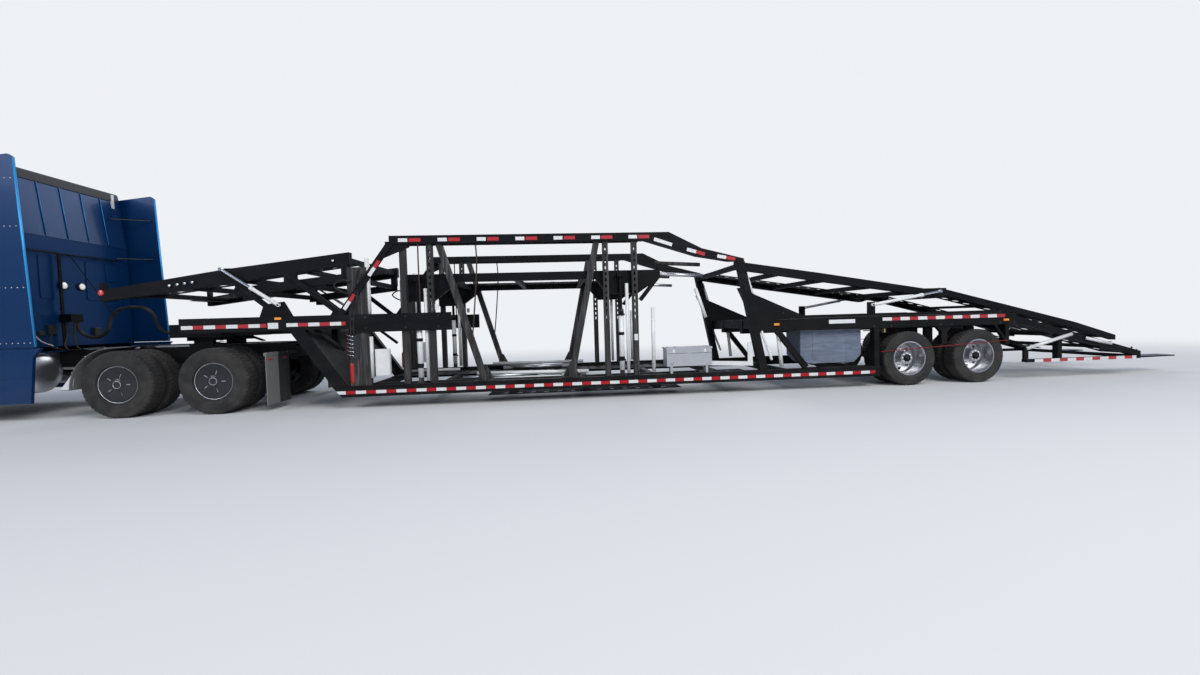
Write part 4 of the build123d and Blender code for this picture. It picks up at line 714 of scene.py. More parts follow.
class TRANSPORTER_OT_air_line(bpy.types.Operator):
    """Sleeve of air and electric lines between tractor and trailer"""
    bl_idname = "transporter.air_line"
    bl_label = "Air line"

    def execute(self, context):
        curve = bpy.data.curves.new("air_line_sleeve", "CURVE")
        curve.dimensions = "3D"
        spline = curve.splines.new("NURBS")
        spline.points.add(len(line_route) - 1)
        spline.points.foreach_set("co", np.column_stack([line_route, np.ones(len(line_route))]).ravel())
        spline.order_u = 3
        spline.use_endpoint_u = True
        curve.bevel_depth = line_radius
        curve.bevel_resolution = 4
        curve.resolution_u = 12
        curve.use_fill_caps = True
        curve.materials.append(finishes["hose_black"])
        sleeve = linked("air_line_sleeve", curve)
        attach(sleeve, "tractor")
        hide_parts("air_line")
        return {"FINISHED"}


class TRANSPORTER_OT_tyres(bpy.types.Operator):
    """Tyres with grooved treads and shoulder blocks"""
    bl_idname = "transporter.tyres"
    bl_label = "Tyres"

    def execute(self, context):
        tyres = context.scene.transporter_tyres
        for wheel, (side, hand) in itertools.product(wheels, (("left", -1), ("right", 1))):
            faces = (wheel.outer, wheel.outer - wheel.pitch) if wheel.pitch else (wheel.outer,)
            node = f"{wheel.name}_{side}_tyre" + ("s" if wheel.pitch else "")
            shapes = [tyre_shape(wheel, hand * (face - wheel.width / 2), tyres) for face in faces]
            made = piece(f"{node}_tread", shapes, "tyre_black", wheel_body(wheel, side))
            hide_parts(node)
        return {"FINISHED"}


def wheel_body(wheel, side):
    """The body of a side's wheel, or of its pair of wheels."""
    return f"{wheel.name}_{side}" + ("_wheels" if wheel.pitch else "")


# Profiles (along, radius) from the tyre's outer face or the hub's; the rim's trim goes in from the bead
rim_trim = [(-.036, .022), (-.029, .018), (-.029, .01), (-.036, .006)]
cap_trim = [(-.013, .05), (-.009, .052), (-.009, .056), (-.016, .06)]
# A pale disc behind the cover's slots: painted light seen through the slots.
slot_light_disc = [(-.043, .1), (-.038, .1), (-.038, .177), (-.043, .177)]
hub_cap = [(0, 0), (0, .062), (.012, .064), (.016, .05), (.034, .042), (.036, 0)]


def cover_fittings(wheel):
    """Trim rings at a cover's rim and cap, and the pale disc behind its slots, which paints the light seen
    through them.
    """
    centre = (wheel.x, wheel.outer, wheel.z)
    rim = turned([(along, wheel.bead - inward) for along, inward in rim_trim], centre, Y, 64)
    cap = turned(cap_trim, centre, Y, 64)
    slots = turned(slot_light_disc, centre, Y)
    return [("trim", [rim, cap], "tank_alloy", True), ("slots", slots, "hose_white", False)]


def hub_fittings(wheel, nut):
    """Ten wheel nuts on the rim's disc, and a cap with eight bolts on the hub."""
    disc, hub = (wheel.x, wheel.nut_face, wheel.z), (wheel.x, wheel.hub_face, wheel.z)
    nuts = heads(round_places(disc, Y, .1425, 10), Y, nut, .03)
    bolts = heads(round_places(hub, Y, .078, 8), Y, .008, .012)
    cap = turned(hub_cap, hub, Y, 32)
    cap_finish = "frame_black" if wheel.pitch else "tank_alloy"
    return [("nuts", [nuts, bolts], "chrome_rod", False), ("hub_cap", cap, cap_finish, True)]


class TRANSPORTER_OT_wheel_fittings(bpy.types.Operator):
    """Wheel nuts, hub caps and the trim rings of the covers"""
    bl_idname = "transporter.wheel_fittings"
    bl_label = "Wheel fittings"

    def execute(self, context):
        nut = context.scene.transporter_fasteners.nut
        for wheel in wheels:
            fittings = hub_fittings(wheel, nut) if wheel.hub_face else cover_fittings(wheel)
            for name, shape, finish, smooth in fittings:
                one_a_side(f"{wheel.name}_{{}}_{name}", shape, finish, wheel_body(wheel, "{}"), smooth=smooth)
        return {"FINISHED"}


tape_pair = (("white", 0.14), (None, 0.02), ("red", 0.18), (None, 0.26))
tape_solid = (("white", 0.165), ("red", 0.155))
least_tape = 0.02
tape_lines = [  # name, start, end, outer face, pattern, body
    ("neck_front", (-4.78, 1.335), (-3.56, 1.335), side_face, tape_solid, "trailer"),
    ("neck_rear", (-3.27, 1.335), (-2.4, 1.335), side_face, tape_solid, "trailer"),
    ("top", (-1.56, 2.6), (2.6, 2.6), side_face, tape_pair, "trailer"),
    ("top_bend", (2.457, 2.558), (2.75, 2.462), side_face, (("white", .31),), "trailer"),
    ("top_slope", (2.997, 2.385), (3.294, 2.298), side_face, (("white", .155), ("red", .156)), "trailer"),
    ("top_tail", (3.5, 2.268), (3.8, 2.212), side_face, (("white", .15), ("red", .156)), "trailer"),
    ("tower_upper", (-1.86, 2.29), (-2.02, 2.06), side_face, (("red", .13), ("white", .15)), "trailer"),
    ("tower_lower", (-2.25, 1.78), (-2.41, 1.55), side_face, (("red", .13), ("white", .15)), "trailer"),
    ("rear", (6.35, 1.15), (8.6, 1.15), side_face, tape_solid, "trailer"),
    ("tail_bar", (9.3, .325), (11.3, .325), deck_face, tape_solid, "tail_ramp"),
]


def tape_runs(pattern, length):
    """Where each colour of tape lies along a line, as shares of its length."""
    runs = {"white": [], "red": []}
    at = 0.0
    for shade, run in itertools.cycle(pattern):
        if at >= length - least_tape:
            return runs
        if shade:
            runs[shade].append((at / length, min(at + run, length) / length))
        at += run


class TRANSPORTER_OT_tape(bpy.types.Operator):
    """Red and white reflective tape along both sides"""
    bl_idname = "transporter.tape"
    bl_label = "Tape"

    def execute(self, context):
        tape = context.scene.transporter_tape
        for name, start, end, face, pattern, body in tape_lines:
            for shade, shares in tape_runs(pattern, math.dist(start, end)).items():
                if shares:
                    shape = strips(start, end, face, face + tape.thickness, tape.width, shares)
                    pair(f"tape_{name}_{shade}", shape, f"tape_{shade}", body)
        return {"FINISHED"}


def work_lights():
    """Work lights in their rings, low in the middle of the wall."""
    light = dome((cab_rear + .02, .15, 2.12), X, .056, .022)
    ring = turned([(-.004, .054), (-.004, .072), (.03, .07), (.034, .062), (.03, .054)],
                  (cab_rear, .15, 2.12), X, 32)
    pair("work_light_lenses", light, "lamp_white", "tractor", smooth=True)
    pair("work_light_rings", ring, "grille_black", "tractor", smooth=True)


def round_vent():
    """Round vent with its slats."""
    vent = turned([(-.014, 0), (-.014, .06), (.006, .06), (.01, .052), (.004, .046), (.004, 0)],
                  (cab_rear - .012, -.71, 2.15), X, 32)
    slats = slabs([(cab_rear - .012, cab_rear - .002, -.75, -.67, z - .003, z + .003)
                   for z in np.arange(2.115, 2.19, .015)])
    piece("sleeper_vent", [vent, slats], "grille_black", "tractor")


def wall_top():
    """Seal along the top of the wall, painted highlights on the crowns of its ribs and a bare strip at its
    corner.
    """
    top_x = cab_rear - cab_lean
    seal = slabs([(top_x + .017, top_x + .032, -1.05, 1.05, roof_z - .15, roof_z - .01)])
    piece("roof_seal", seal, "grille_black", "tractor", bevel=.004)
    lean = cab_lean / (roof_z - crease_z)
    # Thin light blue tubes along the rib crowns: painted highlights on the ribs.
    rib_ends = np.array([(cab_rear + .009, 0, 2.94), (cab_rear + .009 - lean * .85, 0, 3.78)])
    ribs = [tube(rib_ends + (0, y, 0), .004, 8) for y in (-.71, -.355, 0, .355, .71)]
    piece("rib_crowns", ribs, "edge_blue", "tractor", smooth=True)
    strip = slabs([(top_x + .012, top_x + .034, .93, .99, 3.66, 3.925)])
    piece("corner_strip", strip, "tape_white", "tractor")


def extenders():
    """Rolled edges of the extenders in a light blue that paints their highlight, rivets along their skin and
    stays from the wall.
    """
    # The rolled edge is real; its light blue colour is a painted highlight.
    edge = tube([(-6.872, cab_half, 1.12), (-6.93, cab_half, 2.5), (-6.988, cab_half, 3.9)], .0172)
    rivet = dome((0, 0, 0), Y, .008, .004, 8, 3)
    rivets = []
    for z in (1.18, 2.0, 2.9, 3.6):
        back = -6.87 - .12 * (z - 1.1) / 2.85 - .05
        rivets.append(stamped(rivet, [(x, 1.2172, z) for x in np.arange(back - .4, back, .08)]))
    stays = [tube([(wall_x, .84, z), (wall_x + .01, .85, z), (-7.06, 1.17, z + .02),
                   (-7.05, 1.182, z + .02)], .011)
             for z, wall_x in ((2.7, cab_rear), (3.45, cab_rear - .065))]
    pair("extender_edges", edge, "edge_blue", "tractor", smooth=True)
    pair("extender_rivets", rivets, "tank_alloy", "tractor")
    pair("extender_stays", stays, "grille_black", "tractor", smooth=True)


def wall_sockets():
    """Sockets, valves and bolts low on the wall."""
    blocks = slabs([(cab_rear, cab_rear + .045, -.46, -.34, 1.30, 1.46),
                    (cab_rear, cab_rear + .03, -.60, -.50, 1.28, 1.36),
                    (cab_rear, cab_rear + .05, .30, .42, 1.24, 1.40)])
    piece("socket_boxes", blocks, "grille_black", "tractor", bevel=.006)
    bolts = heads([(cab_rear, y, z) for y in (.5, 1.02) for z in (1.18, 1.6)], X, .011, .01)
    pair("sleeper_bolts", bolts, "grille_black", "tractor")


class TRANSPORTER_OT_sleeper_rear(bpy.types.Operator):
    """Lights, vent, seal, rivets, edges and stays on the sleeper's rear"""
    bl_idname = "transporter.sleeper_rear"
    bl_label = "Sleeper rear"

    def execute(self, context):
        work_lights()
        round_vent()
        wall_top()
        extenders()
        wall_sockets()
        return {"FINISHED"}


class TRANSPORTER_OT_cab_trim(bpy.types.Operator):
    """Handles, mirror glass, wipers, roof lamps, filler caps and step treads"""
    bl_idname = "transporter.cab_trim"
    bl_label = "Cab trim"

    def execute(self, context):
        skin, grip = cab_half - .005, cab_half + .025
        handle = [slabs([(-9.42, -9.30, skin, skin + .012, 1.93, 2.0)]),
                  tube([(-9.415, skin, 1.965), (-9.40, grip, 1.965), (-9.32, grip, 1.965),
                        (-9.305, skin, 1.965)], .009)]
        one_a_side("door_handle_{}", handle, "chrome_rod", "door_{}", smooth=True)
        glass = slabs([(-10.1495, -10.146, 1.185, 1.275, low, high)
                       for low, high in ((1.66, 1.95), (1.98, 2.14))])
        one_a_side("mirror_glass_{}", glass, "mirror_glass", "door_{}")
        lamps = [dome((-8.9, y, 3.755), Z, .03, .03, 16, 5) for y in (-.7, -.25, 0, .25, .7)]
        piece("roof_lamps", lamps, "lamp_amber", "tractor", smooth=True)
        arm = smooth_path([(-10.33, 0, 2.19), (-10.14, .3, 2.42), (-10.02, .52, 2.62)])
        wipers = [tube(arm + (0, y, 0), .007) for y in (-.75, .1)]
        piece("wipers", wipers, "grille_black", "tractor", smooth=True)
        cap = turned([(0, 0), (0, .055), (.02, .055), (.03, .045), (.03, 0)], (-9.05, 1.08, .82), Y, 24)
        pair("filler_caps", cap, "grille_black", "tractor", smooth=True)
        treads = slabs([(x, x + .02, 1.116, 1.154, z, z + .004) for z in (.42, .70) for x in
                        np.arange(-10.06, -9.5, .04)])
        pair("step_treads", treads, "box_alloy", "tractor")
        return {"FINISHED"}


class TRANSPORTER_OT_nose_trim(bpy.types.Operator):
    """Lamp bowls, grille mesh and fog lamps at the front"""
    bl_idname = "transporter.nose_trim"
    bl_label = "Nose trim"

    def execute(self, context):
        bowls = [turned([(0, 0), (.02, .04), (.05, .07), (.055, .066), (.03, .03), (.012, 0)],
                        (-12.17, y, 1.2), X, 24) for y in (.83, .95)]
        pair("lamp_bowls", bowls, "chrome_rod", "hood", smooth=True)
        mesh = [slabs([(-12.265, -12.262, y, y + .004, .93, 1.45) for y in np.arange(-.4, .4, .02)]),
                slabs([(-12.262, -12.259, -.41, .41, z, z + .004) for z in np.arange(.94, 1.45, .02)])]
        piece("grille_mesh", mesh, "grille_black", "hood")
        fog = (-12.345, .62, .47)
        ring = turned([(0, .045), (-.02, .05), (-.02, .056), (.03, .056), (.03, .045)], fog, X, 24)
        pair("fog_lamps", dome(fog, X, .045, -.012), "lamp_white", "tractor", smooth=True)
        pair("fog_rings", ring, "grille_black", "tractor", smooth=True)
        return {"FINISHED"}


# Straight rods, pipes and cylinders: name, path, radius, finish, body, and whether the far side has one too.
# In both tables y is the distance from the middle, and what has no twin is on the photo's side.
rods = [
    ("tower_ram", [(-2.07, 1.2, 1.38), (-2.07, 1.2, 2.34)], .036, "barrel_white", "trailer", True),
    ("tower_ram_collar", [(-2.07, 1.2, 1.36), (-2.07, 1.2, 1.44)], .042, "frame_black", "trailer", True),
    ("tower_bottle", [(-2.065, 1.2, .47), (-2.065, 1.2, 1.12)], .036, "barrel_white", "trailer", True),
    ("front_lock_ram", [(-1.2, 1.2, .4), (-1.2, 1.2, 1.85)], .03, "barrel_white", "trailer", True),
    ("rear_lock_ram", [(2.42, 1.2, .4), (2.42, 1.2, 1.46)], .03, "barrel_white", "trailer", True),
    ("gantry_rod_front", [(4.0, 1.2, 2.0), (4.15, 1.2, 1.5)], .028, "barrel_white", "trailer", True),
    ("gantry_ram_inner", [(3.2, 1.0, 1.77), (3.37, 1.0, 1.27)], .03, "barrel_white", "trailer", False),
    ("gantry_ram_foot", [(4.54, 1.2, 1.0), (4.6, 1.2, .4)], .032, "barrel_white", "trailer", True),
    ("wheel_strap", [(6.31, 1.283, .6), (7.5, 1.283, .66), (8.63, 1.283, .72)], .006, "strap_red",
     "trailer", True),
    ("neck_brace", [(-2.90, 1.2, 1.27), (-2.47, 1.2, .92)], .028, "frame_black", "trailer", True),
    ("knee_tube_upper", [(2.5, 1.11, 2.01), (3.3, 1.11, 1.965)], .03, "box_alloy", "mid_deck", True),
    ("side_ledge", [(5.0, 1.2, .345), (6.14, 1.2, .345)], .03, "frame_black", "trailer", True),
    ("deck_pipe_outer", [(-.3, 1.02, .35), (1.1, 1.02, .35)], .04, "barrel_white", "trailer", True),
    ("deck_pipe_crossed", [(-.7, 1.06, .40), (.5, .94, .41)], .026, "box_alloy", "trailer", True),
    ("deck_pipe_upper", [(-.5, .9, .45), (1.35, 1.0, .43)], .03, "barrel_white", "trailer", True),
    ("deck_pipe_front", [(-2.25, 1.04, .34), (-1.2, 1.1, .34)], .03, "barrel_white", "trailer", True),
    ("rear_lift_ram", [(2.0, 1.2, .4), (2.0, 1.2, 1.86)], .028, "barrel_white", "trailer", True),
    ("skid_tube", [(2.5, 1.11, 2.19), (3.25, 1.11, 2.15)], .032, "post_grey", "mid_deck", True),
    ("skid_tube_foot", [(2.53, 1.11, 2.05), (2.53, 1.11, 2.19)], .016, "frame_black", "mid_deck", True),
    ("deck_pipe_inner", [(-.1, .88, .36), (.9, .84, .36)], .05, "tank_alloy", "trailer", True),
]

# Hoses clipped along the steelwork: name, path, share of the set radius, finish, body, far side too
hoses = [
    ("post_hose_front", [(-1.27, 1.262, 2.545), (-1.272, 1.268, 2.2), (-1.268, 1.268, 1.85),
                         (-1.27, 1.262, 1.468)], 1.0, "hose_brown", "trailer", True),
    ("strut_hose", [(-.39, 1.24, 2.54), (-.38, 1.262, 2.2), (-.43, 1.262, 1.6), (-.49, 1.258, 1.05),
                    (-.52, 1.25, .97)], 1.0, "hose_brown", "trailer", True),
    ("tower_loop", [(-2.3, 1.26, 1.98), (-2.44, 1.268, 2.0), (-2.55, 1.262, 1.92), (-2.45, 1.262, 1.83),
                    (-2.28, 1.26, 1.77)], 1.2, "hose_black", "trailer", True),
    ("tower_hose_a", [(-2.33, 1.27, 1.15), (-2.32, 1.274, 1.45), (-2.25, 1.268, 1.75), (-2.2, 1.255, 2.1),
                      (-2.17, 1.25, 2.15)], 1.0, "hose_black", "trailer", True),
    ("tower_hose_b", [(-2.29, 1.27, 1.15), (-2.27, 1.274, 1.45), (-2.2, 1.268, 1.8), (-2.14, 1.25, 2.1)],
     1.0, "hose_black", "trailer", True),
    ("toolbox_loop", [(2.64, 1.2, .8), (2.66, 1.27, .62), (2.7, 1.28, .5), (2.75, 1.27, .62),
                      (2.77, 1.2, .8)], 1.0, "hose_black", "trailer", False),
    ("rear_white_hose", [(4.234, 1.262, 1.014), (4.27, 1.27, .88), (4.36, 1.27, .64), (4.4, 1.262, .53)],
     2.0, "hose_white", "trailer", True),
    ("beam_line_a", [(4.5, 1.277, 1.19), (5.4, 1.277, 1.205), (6.6, 1.277, 1.205), (8.5, 1.277, 1.19)],
     .7, "hose_black", "trailer", True),
    ("valve_line", [(6.05, 1.2, .96), (6.2, 1.24, .965), (6.38, 1.24, .96)], .7, "hose_black",
     "trailer", True),
    ("rail_line_top", [(-1.6, 1.18, 2.53), (0, 1.19, 2.528), (1.4, 1.18, 2.53), (2.2, 1.19, 2.53)],
     1.0, "hose_black", "trailer", True),
    ("rail_line_low", [(-2.2, 1.14, .37), (-.4, 1.13, .372), (1.4, 1.14, .37), (3.2, 1.13, .372)],
     1.2, "hose_black", "trailer", True),
    ("wall_cable_a", [(-7.45, .72, 1.5), (-7.42, .7, 1.36), (-7.38, .62, 1.2), (-7.36, .48, 1.12),
                      (-7.34, .4, 1.06)], .6, "hose_white", "tractor", False),
    ("wall_cable_b", [(-7.45, .66, 1.46), (-7.4, .64, 1.28), (-7.37, .54, 1.14), (-7.35, .44, 1.06)],
     .6, "hose_brown", "tractor", False),
    ("wall_cable_c", [(-7.41, .4, 1.32), (-7.38, .48, 1.2), (-7.34, .44, 1.08), (-7.3, .36, 1.04)],
     .8, "hose_black", "tractor", False),
    ("box_cable_a", [(-7.32, .26, 1.5), (-7.28, .3, 1.3), (-7.22, .42, 1.12), (-7.1, .5, 1.04)],
     1.2, "hose_black", "tractor", False),
    ("box_cable_b", [(-7.25, .2, 1.5), (-7.22, .26, 1.26), (-7.1, .36, 1.1), (-6.95, .46, 1.04)],
     1.2, "hose_black", "tractor", False),
    ("plate_cable", [(-7.3, -.3, 1.05), (-7.1, -.12, 1.05), (-6.98, .06, 1.052), (-6.92, .28, 1.05)],
     1.3, "hose_black", "tractor", False),
    ("frame_air_line", [(-6.7, .4, 1.05), (-6.2, .38, 1.04), (-5.4, .4, 1.05), (-3.8, .38, 1.04)],
     1.0, "hose_black", "tractor", True),
    ("frame_power_line", [(-6.7, .34, 1.05), (-6.1, .33, 1.04), (-5.3, .34, 1.05), (-3.8, .33, 1.04)],
     .9, "hose_black", "tractor", True),
]


def placed(shape, far_too):
    """The shape on the photo's side, and on the far side where it is there too."""
    return both_sides(shape) if far_too else mirrored(shape)


class TRANSPORTER_OT_rods(bpy.types.Operator):
    """Rams, sleeves, pipes and bars on the trailer and its mid deck"""
    bl_idname = "transporter.rods"
    bl_label = "Rods"

    def execute(self, context):
        for name, path, radius, finish, body, far_too in rods:
            piece(name, placed(tube(path, radius, 20), far_too), finish, body, smooth=True)
        return {"FINISHED"}


class TRANSPORTER_OT_hoses(bpy.types.Operator):
    """Hoses and lines clipped to the steelwork"""
    bl_idname = "transporter.hoses"
    bl_label = "Hoses"

    def execute(self, context):
        radius = context.scene.transporter_hoses.radius
        for name, path, share, finish, body, far_too in hoses:
            shape = tube(smooth_path(path), radius * share, 8)
            piece(name, placed(shape, far_too), finish, body, smooth=True)
        return {"FINISHED"}


class TRANSPORTER_OT_tower_fittings(bpy.types.Operator):
    """Valve block, extinguisher and cabinet at the tower behind the gooseneck"""
    bl_idname = "transporter.tower_fittings"
    bl_label = "Tower fittings"

    def execute(self, context):
        rows = np.arange(.82, 1.13, .06)
        levers = [tube([(-2.29, 1.25, z), (-2.31, 1.27, z + .01), (-2.38, 1.274, z + .03)], .005, 8)
                  for z in rows]
        knobs = [dome((-2.385, 1.266, z + .031), Y, .012, .01, 12, 4) for z in rows]
        bottle = tube([(-2.34, 1.2, z) for z in (.4, .41, .7, .73, .75)], (.05, .055, .055, .04, .02), 24)
        top = tube([(-2.34, 1.2, .74), (-2.34, 1.2, .79), (-2.30, 1.2, .80), (-2.28, 1.21, .72)], .01, 8)
        block = slabs([(-2.36, -2.22, 1.2, 1.262, .78, 1.15)])
        pair("valve_blocks", block, "grille_black", "trailer", bevel=.006)
        pair("valve_levers", levers, "chrome_rod", "trailer", smooth=True)
        pair("valve_knobs", knobs, "signal_red", "trailer", smooth=True)
        pair("extinguishers", bottle, "signal_red", "trailer", smooth=True)
        pair("extinguisher_tops", top, "grille_black", "trailer", smooth=True)
        pair("cabinets", slabs([(-1.99, -1.77, 1.19, 1.262, .5, .92)]), "plate_white", "trailer", bevel=.008)
        door = [(-1.975, -1.785, 1.262, 1.265, .515, .905)]
        hinges = [(-1.80, -1.79, 1.265, 1.272, z, z + .04) for z in (.6, .8)]
        pair("cabinet_doors", slabs(door + hinges), "hose_white", "trailer")
        return {"FINISHED"}


class TRANSPORTER_OT_post_fittings(bpy.types.Operator):
    """Collars, sleeves, clamps and foot bolts on the posts, and blank labels on posts and beams"""
    bl_idname = "transporter.post_fittings"
    bl_label = "Post fittings"

    def execute(self, context):
        sleeves, collars, clamps = [], [], []
        for x in (-1.315, 1.895):
            sleeves.append(turned([(.45, .0402), (.45, .0425), (1.447, .0425), (1.447, .0402)],
                                  (x, 1.205, 0), Z, 28))
            collars += [turned([(z, .03), (z, .0465), (z + .05, .0465), (z + .05, .03)],
                               (x, 1.2035, 0), Z, 28) for z in (.62, 1.02, 1.36)]
            clamps += [(x - .055, x + .055, post_face, post_face + .006, z, z + .03) for z in (.6, 1.34)]
        label_places = [(post_face, -1.05, -.99, 1.51, 1.6), (post_face, 2.1, 2.16, .93, 1.03),
                        (side_face, 5.4, 5.86, 1.1, 1.165), (side_face, -3.54, -3.39, 1.285, 1.375)]
        labels = slabs([(x0, x1, face, face + .0012, z0, z1) for face, x0, x1, z0, z1 in label_places])
        feet = heads([(x + dx, post_face, .42) for x in (-1.52, -1.11, 1.66, 2.13) for dx in (-.028, .028)],
                     Y, .012, .012)
        pair("lift_sleeves", sleeves, "barrel_white", "trailer", smooth=True)
        pair("barrel_collars", collars, "frame_black", "trailer", smooth=True)
        pair("barrel_clamps", slabs(clamps), "frame_black", "trailer", bevel=.003)
        pair("blank_labels", labels, "plate_white", "trailer")
        pair("post_feet_bolts", feet, "axle_iron", "trailer")
        return {"FINISHED"}


tie_rings = [  # name, body, first and last ring's (x, z), y, how many
    ("head_deck_4_n6", "head_deck", (-5.8, 1.875), (-4.3, 2.065), .74, 4),
    ("head_deck_4_n4", "head_deck", (-4.0, 2.125), (-2.6, 2.32), .74, 4),
    ("mid_deck_8_n1", "mid_deck", (-1.4, 2.06), (2.4, 2.06), .74, 8),
    ("rear_deck_7_4", "rear_deck", (4.0, 2.14), (7.3, 1.635), .74, 7),
    ("upper_ramp_5_8", "upper_ramp", (7.8, 1.575), (10.0, 1.0), .68, 5),
]


class TRANSPORTER_OT_deck_fittings(bpy.types.Operator):
    """Pins, tie-down rings and marker lamps of the decks"""
    bl_idname = "transporter.deck_fittings"
    bl_label = "Deck fittings"

    def execute(self, context):
        tip = dome((-5.98, deck_face, 1.9), Y, .045, .012, 24, 4)
        pins = [tube([(x, deck_face, z), (x, deck_face + .025, z)], .02, 16) for x, z in
                ((-5.0, 1.985), (-4.885, 2.0), (-4.78, 2.015), (-4.67, 2.03), (-3.9, 1.86), (-2.6, 2.32))]
        pair("deck_tip_lamps", tip, "lamp_red", "head_deck", smooth=True)
        pair("deck_pins", pins, "chrome_rod", "head_deck", smooth=True)
        ring = turned([(-.004, .016), (.004, .016), (.004, .024), (-.004, .024)], (0, 0, 0), Y, 20)
        for name, body, first, last, y, count in tie_rings:
            places = [(x, y, z + .012) for x, z in np.linspace(first, last, count)]
            pair(f"tie_rings_{name}", stamped(ring, places), "box_alloy", body, smooth=True)
        return {"FINISHED"}


class TRANSPORTER_OT_rear_fittings(bpy.types.Operator):
    """Valves, rams with their brackets, skids and lamp ribs at the trailer's rear"""
    bl_idname = "transporter.rear_fittings"
    bl_label = "Rear fittings"

    def execute(self, context):
        taps = [tube([(6.4, 1.21, z), (6.4, 1.262, z)], .012, 12) for z in (.935, .96, .985)]
        rams = [tube([(9.13, 1.155, .55), (9.99, 1.155, .78)], .03, 20),
                tube([(10.28, 1.155, .70), (10.77, 1.155, .585)], .026, 20)]
        brackets = slabs([(9.09, 9.17, 1.105, 1.15, .34, .585), (10.26, 10.31, 1.12, 1.15, .66, .74),
                          (10.74, 10.79, 1.12, 1.15, .545, .625)])
        skids = slabs([(11.46, 12.37, y, y + .045, .309, .314) for y in (.66, .73, .80, .87)])
        valve = slabs([(6.36, 6.44, 1.18, 1.24, .92, 1.0)])
        pair("beam_valves", valve, "grille_black", "trailer", bevel=.004)
        pair("beam_valve_taps", taps, "brass", "trailer", smooth=True)
        pair("tail_rams", rams, "barrel_white", "tail_ramp", smooth=True)
        pair("tail_ram_brackets", brackets, "frame_black", "tail_ramp", bevel=.003)
        pair("tail_skids", skids, "box_alloy", "tail_ramp")
        for side, middle in (("left", -.8), ("right", .8)):
            starts = middle - .11 + .02 * np.arange(12)
            ribs = slabs([(8.69, 8.692, y, y + .004, 1.105, 1.155) for y in starts])
            piece(f"rear_lamp_ribs_{side}", ribs, "lamp_red", "trailer")
        return {"FINISHED"}


class TRANSPORTER_OT_box_fittings(bpy.types.Operator):
    """Latches and seam of the toolbox, the bracket behind it, and the tank's cap and bolts"""
    bl_idname = "transporter.box_fittings"
    bl_label = "Box fittings"

    def execute(self, context):
        latches = []
        for x in (2.72, 3.24):
            latches.append((x, x + .035, toolbox_face - .003, toolbox_face, .70, .76))
            latches.append((x + .008, x + .027, toolbox_face - .0045, toolbox_face, .715, .735))
        seam = slabs([(2.63, 3.36, toolbox_face - .001, toolbox_face, .688, .694)])
        piece("toolbox_latches", slabs(latches), "chrome_rod", "trailer", bevel=.002)
        piece("toolbox_seam", seam, "grille_black", "trailer")
        angle = [(3.36, .545), (3.36, .47), (4.09, .44), (4.07, .84), (4.0, .84), (4.0, .515)]
        piece("ladder_bracket", cut_plate(angle, -1.24, -1.225), "plate_white", "trailer", bevel=.002)
        cap = turned([(0, 0), (0, .04), (.02, .04), (.026, .034), (.026, 0)], (5.5, -.9, 1.035), Z, 24)
        piece("tank_cap", cap, "grille_black", "trailer", smooth=True)
        bolts = heads([(5.2, -1.1, .43), (5.8, -1.1, .43)], X, .01, .012)
        piece("tank_strap_bolts", bolts, "chrome_rod", "trailer")
        return {"FINISHED"}


bolt_rows = [  # name, body, outer face, places (x, z)
    ("trailer_neck", "trailer", side_face, [(-2.3, 1.25), (-2.3, 1.4), (-2.1, 1.25), (-2.1, 1.42),
                                            (-1.0, 1.25), (-1.0, 1.42), (-1.5, 1.25), (-1.5, 1.42)]),
    ("trailer_plate", "trailer", side_face, [(4.6, 1.3), (4.75, 1.2), (6.2, 1.03), (6.5, 1.03), (7.4, 1.03),
                                             (7.6, 1.03), (8.5, 1.03), (8.5, 1.22)]),
    ("tail_plate", "tail_ramp", deck_face, [(8.78, 1.1), (8.9, 1.03), (11.2, .5), (11.3, .45)]),
]


class TRANSPORTER_OT_bolts(bpy.types.Operator):
    """Bolt heads on plates, brackets and fenders, fender panels, a painted highlight along the frame's top
    and the flaps' tags
    """
    bl_idname = "transporter.bolts"
    bl_label = "Bolts"

    def execute(self, context):
        radius = context.scene.transporter_fasteners.bolt
        for name, body, face, places in bolt_rows:
            row = heads([(x, face, z) for x, z in places], Y, radius, .013)
            pair(f"bolts_{name}", row, "axle_iron", body)
        arc = [(-5.8 + .62 * math.cos(a), 1.24, .45 + .62 * math.sin(a)) for a in (1.7, 2.2, 2.7)]
        pair("bolts_fender", heads(arc, Y, .006, .003), "tank_alloy", "tractor")
        panel = cut_plate([(-6.417, .46), (-6.585, .46), (-6.366, .75)], 1.188, 1.191)
        pair("fender_panels", panel, "plate_white", "tractor")
        flap = heads([(flap_rear, y, .9) for y in np.linspace(.7, 1.2, 5)], X, .01, .012)
        pair("bolts_flap", flap, "tank_alloy", "tractor")
        # A thin silver strip on the frame's top flange: a painted highlight.
        line = strips((-6.94, 1.045), (-5.3, 1.045), .43, .432, .03, [(0, 1)])
        pair("frame_top_line", line, "tank_alloy", "tractor")
        tags = slabs([(flap_rear + .001, flap_rear + .004, y, y + .1, .80, .83) for y in (.72, 1.1)])
        pair("flap_tags", tags, "tape_red", "tractor")
        return {"FINISHED"}


lamps = [  # name and setting, place, aim
    ("key", (9, -15, 14), (0, 0, 1)),
    ("fill", (-15, -13, 12), (-4, 0, 1.5)),
    ("back", (2, 15, 13), (0, 0, 1)),
]
lamp_size = 12


